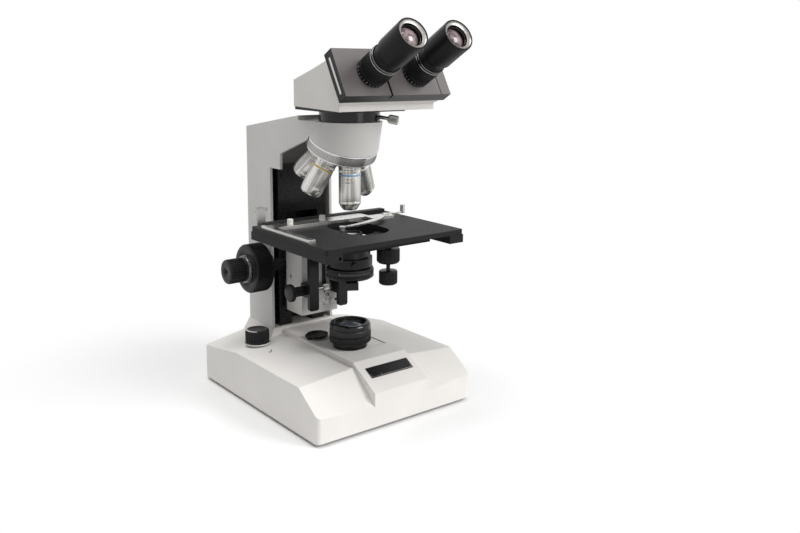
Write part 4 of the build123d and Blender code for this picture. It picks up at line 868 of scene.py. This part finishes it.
def arrowFrame():
    spot, normal = surfaceHeight("base_casting", *arrow["at"])
    facing = normal.to_track_quat("Z", "Y").to_matrix().to_4x4()
    return Matrix.Translation(spot - normal * arrow["sunk"] * mm) @ facing @ Matrix.Rotation(
        math.radians(arrow["turn"]), 4, "Z")


place(arrowMesh(), "dimmerArrow", "darkInk", "stand", "grey_paint", arrowFrame())

# Head block: inset strip on its left end over a gloss black sheet of painted shade for its slot, and a dark
# strip near its right end painted as the shade in the groove there
headBlock = {"end": -61.45, "strip": ((-57.7, 355.4), (-76.3, 323.5)), "width": 2.6, "margin": (1.8, 3.4),
             "seam": 49.7, "seamSize": (1.0, 48.7, 0.3), "seamSink": 1.35}
stripFrom, stripTo = (Vector((headBlock["end"], *spotYz)) for spotYz in headBlock["strip"])
stripLong = (stripTo - stripFrom).length
stripAt = axisFrame((stripFrom + stripTo) / 2, stripTo - stripFrom) @ Matrix.Rotation(math.pi / 2, 4, "Z")
slotSize = (headBlock["width"] + headBlock["margin"][0], 0.12, stripLong + headBlock["margin"][1])
# the slot round the strip is painted shade: a thin gloss black sheet
place(slabMesh(slotSize, 0.05, 1), "headEndSlotShade", "glossBlack", "left_tube", "grey_paint", stripAt)
place(slabMesh((headBlock["width"], 0.3, stripLong), 0.1, 2), "headEndStrip", "satinChrome", "left_tube",
      "chrome", stripAt)

faceSlope = Vector((0, -math.sin(tilt), -math.cos(tilt)))  # down the slides' sloping face
seamMid = Vector((headBlock["seam"], tubes["y"], tubes["z"])) - faceSlope * headBlock["seamSink"]
# the groove is painted shade: a gloss black strip
place(slabMesh(headBlock["seamSize"], 0.1, 1), "headGrooveShade", "glossBlack", "right_tube", "black_paint",
      Matrix.Translation(seamMid * mm) @ Matrix.Rotation(math.pi / 2 - tilt, 4, "X"))


# Screws: a head with a gloss black cross on top, painted shade standing in for a cross recess
def screwHead(radius, height):
    profile = [(0, 0), (radius, 0), (radius, height * 0.6), (radius * 0.86, height), (0, height)]
    return turned(profile, 48, 0.15)


def screwRecessShade(radius, height):
    bars = []
    for arm in range(2):
        bar = slabMesh((radius * 1.5, radius * 0.28, 0.1), 0.02, 1, (0, 0, height))
        bars.append(moved(bar, Matrix.Rotation(math.pi / 2 * arm, 4, "Z")))
    return joined(bars, "recessShade")


def placeScrew(name, at, along, body, radius, height, finish="turnedSteel"):
    spotFrame = axisFrame(at, along, 0.4)
    place(screwHead(radius, height), f"{name}Head", finish, body, "steel", spotFrame)
    # the recess is painted shade: a thin gloss black cross laid on the head
    place(screwRecessShade(radius, height), f"{name}Recess", "glossBlack", body, "steel", spotFrame)


# Bracket: rack slot, adjusting screw and small fittings on its front, one screw on its side; the slot and a
# hole are gloss black pieces of painted shade
bracket = {
    "face": 58, "side": -22.5, "adjuster": (10.2, 97.6), "sideScrew": (80, 118.8), "hole": (20.4, 90.3),
    "plates": (0.3, 0.08),  # thickness, and how deep their middle sits
    "holeProfile": [(0, -0.05), (1.5, -0.05), (1.5, 0.12), (0, 0.12)],
    "fittings": {
        # the rack slot is painted shade: a flat gloss black sheet
        "rackSlotShade": {"at": (5.8, 114.3), "size": (1.5, 28.2), "finish": "glossBlack"},
        "rackSlotLip": {"at": (7.5, 114.3), "size": (0.9, 28.2), "finish": "milledAlloy"},
        "indexPlate": {"at": (6.6, 89.8), "size": (6.0, 7.0), "finish": "milledAlloy"},
        "squareRecess": {"at": (15.2, 89.4), "size": (6.6, 8.6), "finish": "enamel"},
    },
}
toUser = (0, -1, 0)
for name, fitting in bracket["fittings"].items():
    (x, z), (wide, tall), (thick, sunk) = fitting["at"], fitting["size"], bracket["plates"]
    place(slabMesh((wide, thick, tall), 0.12, 2, (x, bracket["face"] + sunk, z)), f"bracket_{name}",
          fitting["finish"], "bracket", "grey_paint")
placeScrew("bracketAdjuster", (bracket["adjuster"][0], bracket["face"], bracket["adjuster"][1]), toUser,
           "bracket", 2.0, 1.2)
placeScrew("bracketSide", (bracket["side"], *bracket["sideScrew"]), (-1, 0, 0), "bracket", 1.8, 0.7)
# the hole is painted shade: a thin gloss black disc
place(turned(bracket["holeProfile"], 32, 0.05), "bracketHoleShade", "glossBlack", "bracket", "grey_paint",
      axisFrame((bracket["hole"][0], bracket["face"], bracket["hole"][1]), toUser))

# Guide cover screws
guideCover = {"front": 95.4, "screws": ((-23, 228), (23, 228), (-24, 172), (24, 172)), "radius": 2.4,
              "height": 0.9}
for number, (x, z) in enumerate(guideCover["screws"]):
    placeScrew(f"guideCover{number}", (x, guideCover["front"], z), toUser, "stand", guideCover["radius"],
               guideCover["height"], "satinBlack")

# Stage: the scale on the carriage bar
scale = {"at": (-14, 31.2), "marks": 66, "pitch": 1.0, "short": 0.9, "long": 1.6, "every": 5, "width": 0.16}


def rulerMesh():
    bars = []
    for index in range(scale["marks"]):
        tall = scale["long"] if index % scale["every"] == 0 else scale["short"]
        across = (index - scale["marks"] / 2) * scale["pitch"]
        bars.append(slabMesh((scale["width"], tall, 0.06), 0.01, 1, (across, tall / 2, 0)))
    return joined(bars, "ruler")


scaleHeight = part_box("carriage")[1].z / mm + 0.01
place(rulerMesh(), "slideScale", "darkInk", "holder", "steel",
      Matrix.Translation(Vector((*scale["at"], scaleHeight)) * mm))
print("bracket, guide and stage details dressed")

# Camera at the photograph's angle; turn, tilt and roll in degrees
view = {"at": (-0.4970, -0.7267, 0.3578), "turn": -40.83, "tilt": 8.69, "roll": 0.82, "lens": 39.0,
        "shift": (-0.0585, -0.0965), "clip": (0.02, 50)}


def addCamera():
    turn, tilt, roll = (math.radians(view[key]) for key in ("turn", "tilt", "roll"))
    back = Vector((math.sin(turn) * math.cos(tilt), -math.cos(turn) * math.cos(tilt), math.sin(tilt)))
    level = (-back).cross(Vector((0, 0, 1))).normalized()
    upright = level.cross(-back)
    right = math.cos(roll) * level + math.sin(roll) * upright
    up = math.cos(roll) * upright - math.sin(roll) * level
    lens = bpy.data.cameras.new("photoCamera")
    lens.sensor_width, lens.lens = 36, view["lens"]
    lens.shift_x, lens.shift_y = view["shift"]
    lens.clip_start, lens.clip_end = view["clip"]
    camera = bpy.data.objects.new("photoCamera", lens)
    camera.matrix_world = Matrix.Translation(view["at"]) @ Matrix((right, up, back)).transposed().to_4x4()
    bpy.context.scene.collection.objects.link(camera)
    bpy.context.scene.camera = camera


# Pale floor that turns into the white backdrop away from the object
floorLook = {"size": 7, "drop": 0.0004, "shade": (250, 250, 250), "centre": (0.0, 0.03, 0.0),
             "clear": (0.18, 0.42), "bounce": 0.55}


def addFloor():
    made = bmesh.new()
    bmesh.ops.create_grid(made, x_segments=8, y_segments=8, size=floorLook["size"])
    floor = bpy.data.objects.new("floor", toMesh(made, "floor"))
    floor.location.z = -floorLook["drop"]
    bpy.context.scene.collection.objects.link(floor)
    paint = Paint(bpy.data.materials.new("paleFloor"))
    spot = paint.node("ShaderNodeNewGeometry")
    fromMiddle = spot - floorLook["centre"]
    reach = paint.node("ShaderNodeVectorMath", {"operation": "LENGTH"}, {0: fromMiddle}, out=1)
    near, far = floorLook["clear"]
    away = paint.node("ShaderNodeMapRange", {"clamp": True, "interpolation_type": "SMOOTHSTEP"},
                      {0: reach, 1: near, 2: far})
    paint.set(color=linear(floorLook["shade"]), roughness=0.6, specular=0.1)
    strength = paint.ramp(paint.seen(), 0, 1, floorLook["bounce"], 1)
    glow = paint.node("ShaderNodeEmission", {}, {"Color": (1.0, 1.0, 1.0), "Strength": strength})
    blend = paint.node("ShaderNodeMixShader", {}, {0: away, 1: Wire(paint, paint.shader.outputs[0]), 2: glow})
    paint.feed(paint.tree.nodes["Material Output"].inputs[0], blend)
    floor.data.materials.append(paint.owner)


# Soft lamps and a white surround
lamps = {
    "keyPanel": {"from": (0.9, -1.5, 1.3), "size": 1.1, "power": 27},
    "frontPanel": {"from": (0.2, -2.0, 0.5), "size": 1.0, "power": 4},
    "topPanel": {"from": (-0.4, 0.05, 1.9), "size": 1.2, "power": 19},
    "rearPanel": {"from": (0.7, 1.5, 1.2), "size": 0.9, "power": 3},
}
surround = {"aim": (0, 0.02, 0.2), "light": 0.33, "seen": 1.0}


def addLamp(name, lamp):
    light = bpy.data.lights.new(name, "AREA")
    light.shape, light.size, light.energy = "DISK", lamp["size"], lamp["power"]
    panel = bpy.data.objects.new(name, light)
    aim = Vector(surround["aim"]) - Vector(lamp["from"])
    panel.matrix_world = Matrix.Translation(lamp["from"]) @ aim.to_track_quat("-Z", "Y").to_matrix().to_4x4()
    bpy.context.scene.collection.objects.link(panel)


def addSurround():
    world = bpy.data.worlds.new("surround")
    sky = Paint(world, "Background")
    sky.feed(sky.shader.inputs["Color"], (1.0, 1.0, 1.0))
    sky.feed(sky.shader.inputs["Strength"], sky.ramp(sky.seen(), 0, 1, surround["light"], surround["seen"]))
    bpy.context.scene.world = world


addCamera()
addFloor()
for name, lamp in lamps.items():
    addLamp(name, lamp)
addSurround()
bpy.context.scene.view_settings.view_transform = "Standard"
print("camera, floor and light set")
